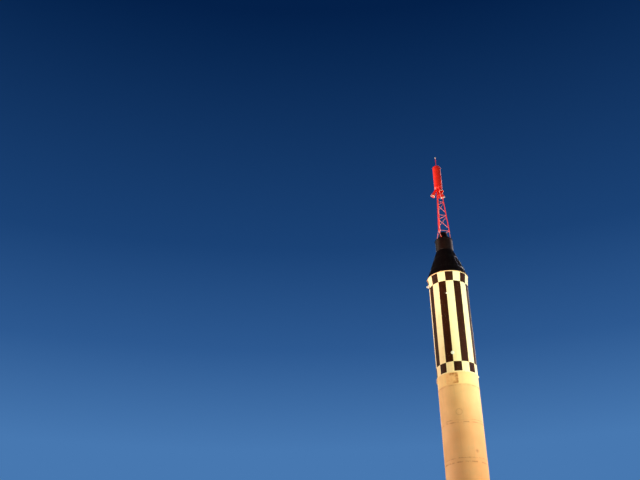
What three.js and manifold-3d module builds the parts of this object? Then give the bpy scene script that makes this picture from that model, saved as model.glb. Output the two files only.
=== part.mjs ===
// Crewed suborbital rocket on show: one tank body, a cone-shaped capsule and an escape tower.
// Millimetres, +Z up. The origin is on the rocket's axis, in the plane under its hold-down pads.
// An azimuth is in degrees, from -Y towards +X.

import * as THREE from 'three';
import { mergeVertices } from 'three/addons/utils/BufferGeometryUtils.js';
import Module from 'manifold-3d';

const wasm = await Module();
wasm.setup();

// Driving sizes of the body
const BODY_RADIUS = 889;
const ADAPTER_TOP_RADIUS = 944;
const BODY_SIDES = 48;
const FIT_GAP = 0.3;
const MERGE_DISTANCE = 1e-3;

// How far a cutter reaches past what it cuts, and how deep in the body a fitting's blank starts
const CUT_MARGIN = 50;
const ROOT_DEPTH = 20;

// Sides of the round bars
const ROD_SIDES = 12;
const LEG_SIDES = 8;
const BRACE_SIDES = 6;
const BOSS_SIDES = 16;

// Heights of the joints between the body's sections
const RING_BOTTOM = 20;
const RING_TOP = 120;
const TAIL_TOP = 2760;
const TANK_JOINT = 7850;
const BAND_BOTTOM = 12800;
const BAND_TOP = 12870;
const ADAPTER_BOTTOM = 17834;
const ADAPTER_TOP = 18295;
const CLAMP_TOP = 18320;
const CYLINDER_BOTTOM = 19790;
const CYLINDER_TOP = 20400;

// Tail: shell, base ring, pads and the carriers of the steering shafts
const TAIL_WALL = 24;
const RING_INNER_RADIUS = 800;
const PAD = { inner: 790, outer: 880, width: 200, top: 70, azimuths: [45, 135, 225, 315] };
const SHAFT_HEIGHT = 250;
const SHAFT_RADIUS = 20;
const SHAFT_BORE_RADIUS = 25;
const CARRIER = { inner: 430, outer: 858, width: 150, bottom: 60, top: 340 };
const CARRIER_UNDERSIDE = { footRun: 60, cornerRun: 140, cornerDrop: 100, tipDrop: 80 };

// Fins: radii from the axis and heights; thick is half the thickness
const QUADRANT_AZIMUTHS = [0, 90, 180, 270];
const FIN = {
  tipRadius: 1980,
  rootTop: 2600,
  tipTop: 1350,
  rootThick: { edge: 8, base: 55 },
  tipThick: { edge: 6, base: 30 },
};
const RUDDER = {
  rootRadius: 1578,
  top: 610,
  sideGap: 8,
  topGap: 10,
  rootThick: { edge: 26, base: 36 },
  tipThick: { edge: 16, base: 28 },
};
const VANE = { inner: 130, outer: 380, bottom: 110, top: 400, thick: 22, edgeThick: 5 };

// Engine bell and chamber: the inner wall as rows of height and radius, from the mouth up
const BELL_WALL = 18;
const BELL_ROWS = [
  { height: 420, radius: 385 },
  { height: 600, radius: 352 },
  { height: 800, radius: 304 },
  { height: 1000, radius: 246 },
  { height: 1180, radius: 190 },
  { height: 1400, radius: 260 },
  { height: 1780, radius: 260 },
  { height: 1860, radius: 170 },
];
const CHAMBER_TOP = 1880;
const FIREWALL = { bottom: 780, top: 800, gap: 12 };
const ENGINE_BLOCK_WIDTH = 900;

// Capsule: base edge, cone of 20 degrees, hollow inside
const CAPSULE = {
  baseRadius: 940,
  chamfer: 14,
  topRadius: 406,
  innerFloor: 18400,
  innerRoof: 19710,
  wall: 60,
};
const CONE_BOTTOM = CLAMP_TOP + CAPSULE.chamfer;
const CONE_RUN = CAPSULE.baseRadius - CAPSULE.topRadius;
const CONE_RISE = CYLINDER_BOTTOM - CONE_BOTTOM;
const CONE_SLOPE = CONE_RUN / CONE_RISE;
const CONE_ANGLE = Math.atan(CONE_SLOPE);

// Side hatch: a panel cut from the cone's wall, with a hinge rod along its rear edge
const HATCH = { azimuth: 62, halfAngle: 22, bottom: 18700, top: 19340, gap: 10 };
// Its cutter runs from near the axis to past the cone: shares of the way to the cone's surface
const HATCH_CUT = { from: 0.001, to: 1.5 };
const HINGE = {
  sideways: 14,
  outward: 30,
  rodRadius: 9,
  rodLength: 520,
  boreRadius: 12,
  knuckleRadius: 20,
  knuckleLength: 60,
  knucklePlaces: [-130, 130],
  bracketPlaces: [-232, 232],
  strap: { reach: 100, underside: 12, outside: 24 },
  block: { from: -100, to: -30, depth: 30, height: 20 },
  bracket: { from: 2, to: 40, depth: 30, height: 44, width: 40 },
};

// Recovery section's top: the antenna canister inside the ring that holds the tower
const CANISTER = { footRadius: 260, topRadius: 180, top: 20850 };
const TOWER_RING = { inner: 315, outer: 418 };

// Escape tower: three legs that split into two feet each, and rings and diagonals between them
const LEG_AZIMUTHS = [80, 200, 320];
const NOZZLE_AZIMUTHS = [20, 140, 260];
const LEG_RADIUS = 22;
const BRACE_RADIUS = 12;
const LEG_INSET = 5;
const TOWER_FOOT = 20435;
const TOWER_HEAD = 23400;
const RING_HEIGHTS = [20930, 21840, 22630];
const DIAGONAL_ENDS = { aboveLower: 170, belowUpper: 70 };
const FOOT_SPREAD = 22;
const LEG_CIRCLE = { height: 20535, radius: 352, taper: 0.0788 };
const FOOT_PLATE = { width: 70, depth: 26 };
const HEAD_PLATE = { width: 90, depth: 26 };

// Escape motor, its nozzles, the jettison motor and the spike
const MOTOR = {
  radius: 197,
  aftRadius: 165,
  skirtTop: 23490,
  shoulder: 24720,
  crownRadius: 157,
  crown: 24770,
  headRadius: 60,
  top: 24790,
};
const ESCAPE_NOZZLE = {
  startRadial: 100,
  startHeight: 23470,
  endRadial: 330,
  endHeight: 23060,
  throatRadius: 45,
  mouthRadius: 110,
  wall: 8,
  hollowShare: 0.7,
};
const JETTISON = {
  radius: 70,
  bottom: 22910,
  mouthRadius: 46,
  throatRadius: 28,
  throat: 23010,
  shoulder: 23040,
};
const SPIKE = {
  footRadius: 45,
  footHeight: 30,
  rodRadius: 15,
  tipRadius: 30,
  tipBottom: 25345,
  crownRadius: 24,
  crown: 25398,
  top: 25410,
};

// Small outside pieces
const LUG_AZIMUTHS = [120, 195, 270];
const LUG = { height: 18000, outward: 110, width: 150, thick: 30 };
const LUG_NOSE = { cornerRun: 40, halfWidth: 30 };
const LUG_EYE = { radius: 22, inset: 42, drop: 12 };
const BOSSES = [
  { name: 'vent_boss_1', azimuth: -11.25, height: 14300, radius: 80, proud: 45 },
  { name: 'vent_boss_2', azimuth: -11.25, height: 17200, radius: 45, proud: 35 },
];
const DUCT = { azimuths: [150, 210], width: 110, depth: 70, bottom: 2900, top: 12650 };
const COVER = { from: -38, to: -3, bottom: 12890, top: 13370, proud: 5 };

const FINISHES = {
  cream: { color: 0xe9dcc0, roughness: 0.5, metalness: 0.0 },
  dark: { color: 0x1c1512, roughness: 0.45, metalness: 0.1 },
  red: { color: 0xd8201c, roughness: 0.4, metalness: 0.0 },
  steel: { color: 0x8d8a86, roughness: 0.4, metalness: 0.9 },
  iron: { color: 0x4a4643, roughness: 0.7, metalness: 0.6 },
  graphite: { color: 0x2b2b2d, roughness: 0.85, metalness: 0.0 },
  tan: { color: 0xc9a878, roughness: 0.6, metalness: 0.0 },
};

const rocket = new THREE.Group();

// Helpers: directions, clean meshes and solids

function radial(azimuth) {
  const angle = THREE.MathUtils.degToRad(azimuth);
  return new THREE.Vector3(Math.sin(angle), -Math.cos(angle), 0);
}

function around(azimuth) {
  return radial(azimuth + 90);
}

function spot(azimuth, radius, height) {
  return radial(azimuth).multiplyScalar(radius).setZ(height);
}

// Six times the volume that the triangles enclose, negative where they face inwards
function signedVolume(position, index) {
  const [a, b, c] = [new THREE.Vector3(), new THREE.Vector3(), new THREE.Vector3()];
  let sum = 0;
  for (let i = 0; i < index.length; i += 3) {
    a.fromBufferAttribute(position, index[i]);
    b.fromBufferAttribute(position, index[i + 1]);
    c.fromBufferAttribute(position, index[i + 2]);
    sum += a.dot(b.cross(c));
  }
  return sum;
}

// Merges shared corners, drops the flat triangles at a pole and turns all faces outwards
function cleaned(geometry) {
  const bare = geometry.clone();
  bare.deleteAttribute('normal');
  bare.deleteAttribute('uv');
  const merged = mergeVertices(bare, MERGE_DISTANCE);
  const index = merged.getIndex().array;
  const kept = [];
  for (let i = 0; i < index.length; i += 3) {
    const [a, b, c] = [index[i], index[i + 1], index[i + 2]];
    if (a !== b && b !== c && c !== a) {
      kept.push(a, b, c);
    }
  }
  if (signedVolume(merged.getAttribute('position'), kept) < 0) {
    kept.reverse();
  }
  merged.setIndex(kept);
  return merged;
}

function toSolid(geometry) {
  const mesh = cleaned(geometry);
  return new wasm.Manifold(new wasm.Mesh({
    numProp: 3,
    vertProperties: new Float32Array(mesh.getAttribute('position').array),
    triVerts: new Uint32Array(mesh.getIndex().array),
  }));
}

function toGeometry(solid) {
  const mesh = solid.getMesh();
  const geometry = new THREE.BufferGeometry();
  geometry.setAttribute('position', new THREE.BufferAttribute(new Float32Array(mesh.vertProperties), 3));
  geometry.setIndex(new THREE.BufferAttribute(new Uint32Array(mesh.triVerts), 1));
  return geometry;
}

function addPart(name, geometry, finish, parent = rocket) {
  const mesh = new THREE.Mesh(cleaned(geometry), new THREE.MeshStandardMaterial(FINISHES[finish]));
  mesh.name = name;
  parent.add(mesh);
  return mesh;
}

// A body of revolution about Z from rows of radius and height, its outer side listed upwards.
// Half a step of turn puts the middle of a flat, not a corner, at azimuth 0.
function turned(rows, sides = BODY_SIDES) {
  const points = rows.map(([radius, height]) => new THREE.Vector2(radius, height));
  return new THREE.LatheGeometry(points, sides, Math.PI / sides).rotateX(Math.PI / 2);
}

function turnedDrum(radius, bottom, top, sides) {
  return turned([[0, bottom], [radius, bottom], [radius, top], [0, top]], sides);
}

function turnedRing(inner, outer, bottom, top, sides) {
  return turned([[inner, bottom], [outer, bottom], [outer, top], [inner, top], [inner, bottom]], sides);
}

// A round bar from one point to another
function bar(from, to, radius, sides) {
  const along = new THREE.Vector3().subVectors(to, from);
  const geometry = new THREE.CylinderGeometry(radius, radius, along.length(), sides);
  const upright = new THREE.Vector3(0, 1, 0);
  const turn = new THREE.Quaternion().setFromUnitVectors(upright, along.clone().normalize());
  geometry.applyQuaternion(turn);
  const middle = new THREE.Vector3().addVectors(from, to).multiplyScalar(0.5);
  return geometry.translate(middle.x, middle.y, middle.z);
}

// A closed body between two outlines with the same number of corners
function loft(first, second) {
  const count = first.length;
  const positions = [...first, ...second].flatMap((point) => [point.x, point.y, point.z]);
  const index = [];
  for (let i = 0; i < count; i += 1) {
    const next = (i + 1) % count;
    index.push(i, next, count + next, i, count + next, count + i);
  }
  for (let i = 1; i < count - 1; i += 1) {
    index.push(0, i + 1, i);
    index.push(count, count + i, count + i + 1);
  }
  const geometry = new THREE.BufferGeometry();
  geometry.setAttribute('position', new THREE.Float32BufferAttribute(positions, 3));
  geometry.setIndex(index);
  return geometry;
}

// A box in a turned frame: ranges along three unit directions from a point
function turnedBox(point, [alongA, fromA, toA], [alongB, fromB, toB], [alongC, fromC, toC]) {
  const geometry = new THREE.BoxGeometry(toA - fromA, toB - fromB, toC - fromC);
  geometry.translate((fromA + toA) / 2, (fromB + toB) / 2, (fromC + toC) / 2);
  const frame = new THREE.Matrix4().makeBasis(alongA, alongB, alongC).setPosition(point);
  return geometry.applyMatrix4(frame);
}

function unionOf(solids) {
  return solids.reduce((sum, solid) => sum.add(solid));
}

// Tank body: plain drums one on the other
const DRUMS = [
  { name: 'oxygen_tank', bottom: TAIL_TOP, top: TANK_JOINT },
  { name: 'fuel_tank', bottom: TANK_JOINT, top: BAND_BOTTOM },
  { name: 'instrument_section', bottom: BAND_TOP, top: ADAPTER_BOTTOM },
];
for (const { name, bottom, top } of DRUMS) {
  addPart(name, turnedDrum(BODY_RADIUS, bottom, top - FIT_GAP), 'cream');
}

const BAND_PROUD = 2;
addPart('separation_band', turnedDrum(BODY_RADIUS + BAND_PROUD, BAND_BOTTOM, BAND_TOP - FIT_GAP), 'cream');

addPart('spacecraft_adapter', turned([
  [0, ADAPTER_BOTTOM],
  [BODY_RADIUS, ADAPTER_BOTTOM],
  [ADAPTER_TOP_RADIUS, ADAPTER_TOP - FIT_GAP],
  [0, ADAPTER_TOP - FIT_GAP],
]), 'cream');

const CLAMP_PROUD = 6;
addPart(
  'adapter_clamp_ring',
  turnedDrum(ADAPTER_TOP_RADIUS + CLAMP_PROUD, ADAPTER_TOP, CLAMP_TOP - FIT_GAP),
  'cream',
);

// Tail shell: an open tube with a hole for each steering shaft
const shaftHoles = unionOf([0, 90].map((azimuth) => toSolid(bar(
  spot(azimuth, -FIN.tipRadius, SHAFT_HEIGHT),
  spot(azimuth, FIN.tipRadius, SHAFT_HEIGHT),
  SHAFT_BORE_RADIUS,
  ROD_SIDES,
))));
const tailTube = toSolid(turnedRing(BODY_RADIUS - TAIL_WALL, BODY_RADIUS, RING_TOP, TAIL_TOP - FIT_GAP));
addPart('tail_shell', toGeometry(tailTube.subtract(shaftHoles)), 'cream');

// Base ring with four hold-down pads and four carriers that reach in to the vanes
function holdDownPad(azimuth) {
  return toSolid(turnedBox(
    new THREE.Vector3(),
    [radial(azimuth), PAD.inner, PAD.outer],
    [around(azimuth), -PAD.width / 2, PAD.width / 2],
    [new THREE.Vector3(0, 0, 1), 0, PAD.top],
  ));
}

function shaftCarrier(azimuth) {
  const outline = [
    [CARRIER.outer - CARRIER_UNDERSIDE.footRun, CARRIER.bottom],
    [CARRIER.outer, CARRIER.bottom],
    [CARRIER.outer, CARRIER.top],
    [CARRIER.inner, CARRIER.top],
    [CARRIER.inner, SHAFT_HEIGHT - CARRIER_UNDERSIDE.tipDrop],
    [CARRIER.outer - CARRIER_UNDERSIDE.cornerRun, SHAFT_HEIGHT - CARRIER_UNDERSIDE.cornerDrop],
  ];
  const side = (offset) => outline.map(([radius, height]) => (
    spot(azimuth, radius, height).addScaledVector(around(azimuth), offset)
  ));
  return toSolid(loft(side(CARRIER.width / 2), side(-CARRIER.width / 2)));
}

const baseRing = toSolid(turnedRing(RING_INNER_RADIUS, BODY_RADIUS, RING_BOTTOM, RING_TOP - FIT_GAP));
const baseWithPads = unionOf([baseRing, ...PAD.azimuths.map(holdDownPad)]);
const baseWithCarriers = unionOf([baseWithPads, ...QUADRANT_AZIMUTHS.map(shaftCarrier)]);
addPart('tail_base_ring', toGeometry(baseWithCarriers.subtract(shaftHoles)), 'steel');

// Engine: bell and chamber open at the mouth, the block above it, and the plate around the bell
addPart('engine_bell', turned([
  [0, CHAMBER_TOP - BELL_WALL],
  ...BELL_ROWS.toReversed().map(({ height, radius }) => [radius, height]),
  ...BELL_ROWS.map(({ height, radius }) => [radius + BELL_WALL, height]),
  [0, CHAMBER_TOP],
]), 'iron');

function bellRadiusAt(height) {
  const above = BELL_ROWS.findIndex((row) => row.height >= height);
  const [low, high] = [BELL_ROWS[above - 1], BELL_ROWS[above]];
  const share = (height - low.height) / (high.height - low.height);
  return low.radius + (high.radius - low.radius) * share;
}

addPart('firewall', turnedRing(
  bellRadiusAt(FIREWALL.bottom) + BELL_WALL + FIREWALL.gap,
  BODY_RADIUS - TAIL_WALL - 2 * FIT_GAP,
  FIREWALL.bottom,
  FIREWALL.top,
), 'steel');

const blockHeight = TAIL_TOP - CHAMBER_TOP - 2 * FIT_GAP;
const engineBlock = new THREE.BoxGeometry(ENGINE_BLOCK_WIDTH, ENGINE_BLOCK_WIDTH, blockHeight);
addPart('engine_block', engineBlock, 'iron').position.z = CHAMBER_TOP + FIT_GAP + blockHeight / 2;

// Fins, rudders, vanes and their shafts: built along +X, then turned with their quadrant

// An upright slab outline at one radius: thin at its upper edge, thick at its lower one
function slabSection(radius, bottom, top, { edge, base }) {
  return [
    new THREE.Vector3(radius, -base, bottom),
    new THREE.Vector3(radius, base, bottom),
    new THREE.Vector3(radius, edge, top),
    new THREE.Vector3(radius, -edge, top),
  ];
}

const bodyFlat = BODY_RADIUS * Math.cos(Math.PI / BODY_SIDES);
const finRoot = bodyFlat + FIT_GAP;
const alongX = new THREE.Vector3(1, 0, 0);
const alongY = new THREE.Vector3(0, 1, 0);
const alongZ = new THREE.Vector3(0, 0, 1);

function finSolid() {
  const blank = toSolid(loft(
    slabSection(finRoot, RING_BOTTOM, FIN.rootTop, FIN.rootThick),
    slabSection(FIN.tipRadius, RING_BOTTOM, FIN.tipTop, FIN.tipThick),
  ));
  const notch = toSolid(turnedBox(
    new THREE.Vector3(),
    [alongX, RUDDER.rootRadius - RUDDER.sideGap, FIN.tipRadius + CUT_MARGIN],
    [alongY, -FIN.rootThick.base, FIN.rootThick.base],
    [alongZ, RING_BOTTOM - CUT_MARGIN, RUDDER.top + RUDDER.topGap],
  ));
  return blank.subtract(notch).subtract(shaftHoles);
}

function rudderGeometry() {
  return loft(
    slabSection(RUDDER.rootRadius, RING_BOTTOM, RUDDER.top, RUDDER.rootThick),
    slabSection(FIN.tipRadius, RING_BOTTOM, RUDDER.top, RUDDER.tipThick),
  );
}

// A vane has a blunt nose above and a thin edge below, thickest a third of the way down
function vaneGeometry() {
  const thickest = VANE.top - (VANE.top - VANE.bottom) / 3;
  const section = (radius) => [
    new THREE.Vector3(radius, -VANE.edgeThick, VANE.bottom),
    new THREE.Vector3(radius, VANE.edgeThick, VANE.bottom),
    new THREE.Vector3(radius, VANE.thick, thickest),
    new THREE.Vector3(radius, VANE.edgeThick, VANE.top),
    new THREE.Vector3(radius, -VANE.edgeThick, VANE.top),
    new THREE.Vector3(radius, -VANE.thick, thickest),
  ];
  return loft(section(VANE.inner), section(VANE.outer));
}

const finGeometry = toGeometry(finSolid());
const shaftFrom = VANE.outer + FIT_GAP;
const shaftTo = RUDDER.rootRadius - FIT_GAP;
QUADRANT_AZIMUTHS.forEach((azimuth, i) => {
  const quadrant = new THREE.Group();
  quadrant.rotation.z = THREE.MathUtils.degToRad(azimuth - 90);
  rocket.add(quadrant);
  const number = i + 1;
  const paint = i % 2 === 0 ? 'cream' : 'dark';
  addPart(`fin_${number}`, finGeometry, paint, quadrant);
  addPart(`air_rudder_${number}`, rudderGeometry(), paint, quadrant);
  addPart(`rudder_shaft_${number}`, bar(
    new THREE.Vector3(shaftFrom, 0, SHAFT_HEIGHT),
    new THREE.Vector3(shaftTo, 0, SHAFT_HEIGHT),
    SHAFT_RADIUS,
    ROD_SIDES,
  ), 'steel', quadrant);
  addPart(`jet_vane_${number}`, vaneGeometry(), 'graphite', quadrant);
});

// Capsule cone: hollow, with the hatch's opening cut through its wall

function coneRadius(height) {
  return CAPSULE.baseRadius - (height - CONE_BOTTOM) * CONE_SLOPE;
}

function capsuleOutside(grow) {
  return toSolid(turned([
    [0, CLAMP_TOP - grow],
    [CAPSULE.baseRadius - CAPSULE.chamfer + grow, CLAMP_TOP - grow],
    [CAPSULE.baseRadius + grow, CONE_BOTTOM],
    [CAPSULE.topRadius + grow, CYLINDER_BOTTOM - FIT_GAP],
    [0, CYLINDER_BOTTOM - FIT_GAP],
  ]));
}

const innerShift = CAPSULE.wall / Math.cos(CONE_ANGLE);
const capsuleInside = toSolid(turned([
  [0, CAPSULE.innerFloor],
  [coneRadius(CAPSULE.innerFloor) - innerShift, CAPSULE.innerFloor],
  [coneRadius(CAPSULE.innerRoof) - innerShift, CAPSULE.innerRoof],
  [0, CAPSULE.innerRoof],
]));

// A pyramid from a point on the axis out through the hatch's four corners
function hatchCutter(inset) {
  const point = new THREE.Vector3(0, 0, (HATCH.bottom + HATCH.top) / 2);
  const corner = (side, height) => {
    const radius = coneRadius(height);
    const angle = HATCH.halfAngle - THREE.MathUtils.radToDeg(inset / radius);
    const place = spot(HATCH.azimuth + side * angle, radius, height);
    return place.sub(point).multiplyScalar(HATCH_CUT.to).add(point);
  };
  const low = HATCH.bottom + inset;
  const high = HATCH.top - inset;
  const corners = [corner(-1, low), corner(1, low), corner(1, high), corner(-1, high)];
  const share = HATCH_CUT.from / HATCH_CUT.to;
  const tip = corners.map((place) => place.clone().sub(point).multiplyScalar(share).add(point));
  return toSolid(loft(tip, corners));
}

const capsuleWall = capsuleOutside(0).subtract(capsuleInside);
addPart('capsule_cone', toGeometry(capsuleWall.subtract(hatchCutter(0))), 'dark');

// Hatch panel and hinge: a frame at the rear edge with up, out and sideways directions
const hingeAzimuth = HATCH.azimuth + HATCH.halfAngle;
const hingeMiddle = (HATCH.bottom + HATCH.top) / 2;
const outward = radial(hingeAzimuth).multiplyScalar(Math.cos(CONE_ANGLE)).setZ(Math.sin(CONE_ANGLE));
const upward = radial(hingeAzimuth).multiplyScalar(-Math.sin(CONE_ANGLE)).setZ(Math.cos(CONE_ANGLE));
const sideways = around(hingeAzimuth);
const edgePoint = spot(hingeAzimuth, coneRadius(hingeMiddle), hingeMiddle);

function hingeBox(sideRange, outRange, upRange) {
  return toSolid(turnedBox(
    edgePoint,
    [sideways, ...sideRange],
    [outward, ...outRange],
    [upward, ...upRange],
  ));
}

function hingePoint(up) {
  return edgePoint.clone()
    .addScaledVector(sideways, HINGE.sideways)
    .addScaledVector(outward, HINGE.outward)
    .addScaledVector(upward, up);
}

function hingeBar(middle, length, radius) {
  return toSolid(bar(hingePoint(middle - length / 2), hingePoint(middle + length / 2), radius, ROD_SIDES));
}

function hatchStrap(place) {
  const { strap, block, knuckleLength, knuckleRadius, sideways: across } = HINGE;
  const along = [place - knuckleLength / 2, place + knuckleLength / 2];
  return unionOf([
    hingeBar(place, knuckleLength, knuckleRadius),
    hingeBox([-strap.reach, across], [strap.underside, strap.outside], along),
    hingeBox([block.from, block.to], [-block.depth, block.height], along),
  ]);
}

const hatchPanel = capsuleWall.intersect(hatchCutter(HATCH.gap));
const hatchSolid = unionOf([hatchPanel, ...HINGE.knucklePlaces.map(hatchStrap)])
  .subtract(hingeBar(0, HINGE.rodLength, HINGE.boreRadius));
addPart('side_hatch', toGeometry(hatchSolid), 'dark');

const hingeBrackets = HINGE.bracketPlaces.map((place) => {
  const { from, to, depth, height, width } = HINGE.bracket;
  return hingeBox([from, to], [-depth, height], [place - width / 2, place + width / 2]);
});
const hingeSolid = unionOf([hingeBar(0, HINGE.rodLength, HINGE.rodRadius), ...hingeBrackets])
  .subtract(capsuleOutside(FIT_GAP));
addPart('hatch_hinge', toGeometry(hingeSolid), 'steel');

// Recovery cylinder, antenna canister and the ring that holds the tower
const SMALL_SIDES = 24;
addPart(
  'recovery_section',
  turnedDrum(CAPSULE.topRadius, CYLINDER_BOTTOM, CYLINDER_TOP - FIT_GAP, BODY_SIDES),
  'dark',
);
addPart('antenna_canister', turned([
  [0, CYLINDER_TOP],
  [CANISTER.footRadius, CYLINDER_TOP],
  [CANISTER.topRadius, CANISTER.top],
  [0, CANISTER.top],
], SMALL_SIDES), 'dark');
addPart(
  'tower_clamp_ring',
  turnedRing(TOWER_RING.inner, TOWER_RING.outer, CYLINDER_TOP, TOWER_FOOT - FIT_GAP, SMALL_SIDES),
  'dark',
);

// Escape tower: legs, feet, rings and one diagonal in each bay, fused into one lattice
function legRadiusAt(height) {
  return LEG_CIRCLE.radius - LEG_CIRCLE.taper * (height - LEG_CIRCLE.height);
}

function legPoint(leg, height) {
  return spot(LEG_AZIMUTHS[leg % LEG_AZIMUTHS.length], legRadiusAt(height), height);
}

function endPlate(azimuth, height, { width, depth }) {
  const half = width / 2;
  return toSolid(turnedBox(
    spot(azimuth, legRadiusAt(height), height),
    [radial(azimuth), -half, half],
    [around(azimuth), -half, half],
    [alongZ, 0, depth],
  ));
}

const towerPieces = [];
LEG_AZIMUTHS.forEach((azimuth, leg) => {
  const split = legPoint(leg, RING_HEIGHTS[0]);
  const head = legPoint(leg, TOWER_HEAD - LEG_INSET);
  towerPieces.push(toSolid(bar(legPoint(leg, RING_HEIGHTS[0] - BRACE_RADIUS), head, LEG_RADIUS, LEG_SIDES)));
  towerPieces.push(endPlate(azimuth, TOWER_HEAD - HEAD_PLATE.depth - FIT_GAP, HEAD_PLATE));
  [azimuth - FOOT_SPREAD, azimuth + FOOT_SPREAD].forEach((footAzimuth) => {
    const foot = spot(footAzimuth, legRadiusAt(TOWER_FOOT), TOWER_FOOT + LEG_INSET);
    towerPieces.push(toSolid(bar(foot, split, BRACE_RADIUS, BRACE_SIDES)));
    towerPieces.push(endPlate(footAzimuth, TOWER_FOOT, FOOT_PLATE));
  });
  RING_HEIGHTS.forEach((height, k) => {
    const [near, far] = [legPoint(leg, height), legPoint(leg + 1, height)];
    towerPieces.push(toSolid(bar(near, far, BRACE_RADIUS, BRACE_SIDES)));
    if (k > 0) {
      const low = legPoint(leg, RING_HEIGHTS[k - 1] + DIAGONAL_ENDS.aboveLower);
      const high = legPoint(leg + 1, height - DIAGONAL_ENDS.belowUpper);
      towerPieces.push(toSolid(bar(low, high, BRACE_RADIUS, BRACE_SIDES)));
    }
  });
});
addPart('escape_tower', toGeometry(unionOf(towerPieces)), 'red');

// Escape motor, its three canted nozzles, the jettison motor and the spike
addPart('escape_motor', turned([
  [0, TOWER_HEAD],
  [MOTOR.aftRadius, TOWER_HEAD],
  [MOTOR.radius, MOTOR.skirtTop],
  [MOTOR.radius, MOTOR.shoulder],
  [MOTOR.crownRadius, MOTOR.crown],
  [MOTOR.headRadius, MOTOR.top],
  [0, MOTOR.top],
], SMALL_SIDES), 'red');

const motorPlate = toSolid(turnedDrum(2 * MOTOR.radius, TOWER_HEAD - FIT_GAP, MOTOR.shoulder, SMALL_SIDES));

function escapeNozzle(azimuth) {
  const { throatRadius, mouthRadius, wall, hollowShare } = ESCAPE_NOZZLE;
  const start = spot(azimuth, ESCAPE_NOZZLE.startRadial, ESCAPE_NOZZLE.startHeight);
  const end = spot(azimuth, ESCAPE_NOZZLE.endRadial, ESCAPE_NOZZLE.endHeight);
  const axis = new THREE.Vector3().subVectors(start, end);
  const length = axis.length();
  const profile = turned([
    [0, length * hollowShare],
    [throatRadius - wall, length * hollowShare],
    [mouthRadius - wall, 0],
    [mouthRadius, 0],
    [throatRadius, length],
    [0, length],
  ], SMALL_SIDES);
  const turn = new THREE.Quaternion().setFromUnitVectors(alongZ, axis.normalize());
  profile.applyQuaternion(turn).translate(end.x, end.y, end.z);
  return toGeometry(toSolid(profile).subtract(motorPlate));
}

NOZZLE_AZIMUTHS.forEach((azimuth, i) => {
  addPart(`escape_nozzle_${i + 1}`, escapeNozzle(azimuth), 'red');
});

addPart('jettison_motor', turned([
  [0, JETTISON.bottom],
  [JETTISON.mouthRadius, JETTISON.bottom],
  [JETTISON.throatRadius, JETTISON.throat],
  [JETTISON.radius, JETTISON.shoulder],
  [JETTISON.radius, TOWER_HEAD - FIT_GAP],
  [0, TOWER_HEAD - FIT_GAP],
], SMALL_SIDES), 'red');

addPart('aerospike', turned([
  [0, MOTOR.top + FIT_GAP],
  [SPIKE.footRadius, MOTOR.top + FIT_GAP],
  [SPIKE.rodRadius, MOTOR.top + SPIKE.footHeight],
  [SPIKE.rodRadius, SPIKE.tipBottom],
  [SPIKE.tipRadius, SPIKE.tipBottom + SPIKE.rodRadius],
  [SPIKE.crownRadius, SPIKE.crown],
  [0, SPIKE.top],
], ROD_SIDES), 'red');

// Stay lugs: flat plates with an eye, standing on the adapter
const bodyCore = toSolid(turnedDrum(BODY_RADIUS + FIT_GAP, BAND_TOP, ADAPTER_BOTTOM));
const adapterGrown = toSolid(turned([
  [0, ADAPTER_BOTTOM],
  [BODY_RADIUS + FIT_GAP, ADAPTER_BOTTOM],
  [ADAPTER_TOP_RADIUS + FIT_GAP, ADAPTER_TOP],
  [0, ADAPTER_TOP],
]));

function stayLug(azimuth) {
  const half = LUG.thick / 2;
  const reach = BODY_RADIUS + LUG.outward;
  const outline = [
    [BODY_RADIUS - ROOT_DEPTH, LUG.height - LUG.width / 2],
    [reach - LUG_NOSE.cornerRun, LUG.height - LUG.width / 2],
    [reach, LUG.height - LUG_NOSE.halfWidth],
    [reach, LUG.height + LUG_NOSE.halfWidth],
    [BODY_RADIUS - ROOT_DEPTH, LUG.height + LUG.width / 2],
  ];
  const side = (offset) => outline.map(([radius, height]) => (
    spot(azimuth, radius, height).addScaledVector(around(azimuth), offset)
  ));
  const eye = spot(azimuth, reach - LUG_EYE.inset, LUG.height - LUG_EYE.drop);
  const hole = toSolid(bar(
    eye.clone().addScaledVector(around(azimuth), -2 * half),
    eye.clone().addScaledVector(around(azimuth), 2 * half),
    LUG_EYE.radius,
    ROD_SIDES,
  ));
  return toSolid(loft(side(half), side(-half))).subtract(bodyCore).subtract(adapterGrown).subtract(hole);
}

LUG_AZIMUTHS.forEach((azimuth, i) => {
  addPart(`stay_lug_${i + 1}`, toGeometry(stayLug(azimuth)), 'cream');
});

// Vent bosses: round caps that stand out of the body
for (const { name, azimuth, height, radius, proud } of BOSSES) {
  const cap = toSolid(bar(
    spot(azimuth, BODY_RADIUS - ROOT_DEPTH, height),
    spot(azimuth, BODY_RADIUS + proud, height),
    radius,
    BOSS_SIDES,
  ));
  addPart(name, toGeometry(cap.subtract(bodyCore)), 'cream');
}

// Cable ducts: long boxes on a flat of the body's rear, with sloped ends
DUCT.azimuths.forEach((azimuth, i) => {
  const base = bodyFlat + FIT_GAP;
  const half = DUCT.width / 2;
  const outline = [
    [base, DUCT.bottom],
    [base + DUCT.depth, DUCT.bottom + 2 * DUCT.depth],
    [base + DUCT.depth, DUCT.top - 2 * DUCT.depth],
    [base, DUCT.top],
  ];
  const side = (offset) => outline.map(([radius, height]) => (
    spot(azimuth, radius, height).addScaledVector(around(azimuth), offset)
  ));
  addPart(`cable_duct_${i + 1}`, loft(side(half), side(-half)), 'cream');
});

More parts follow.
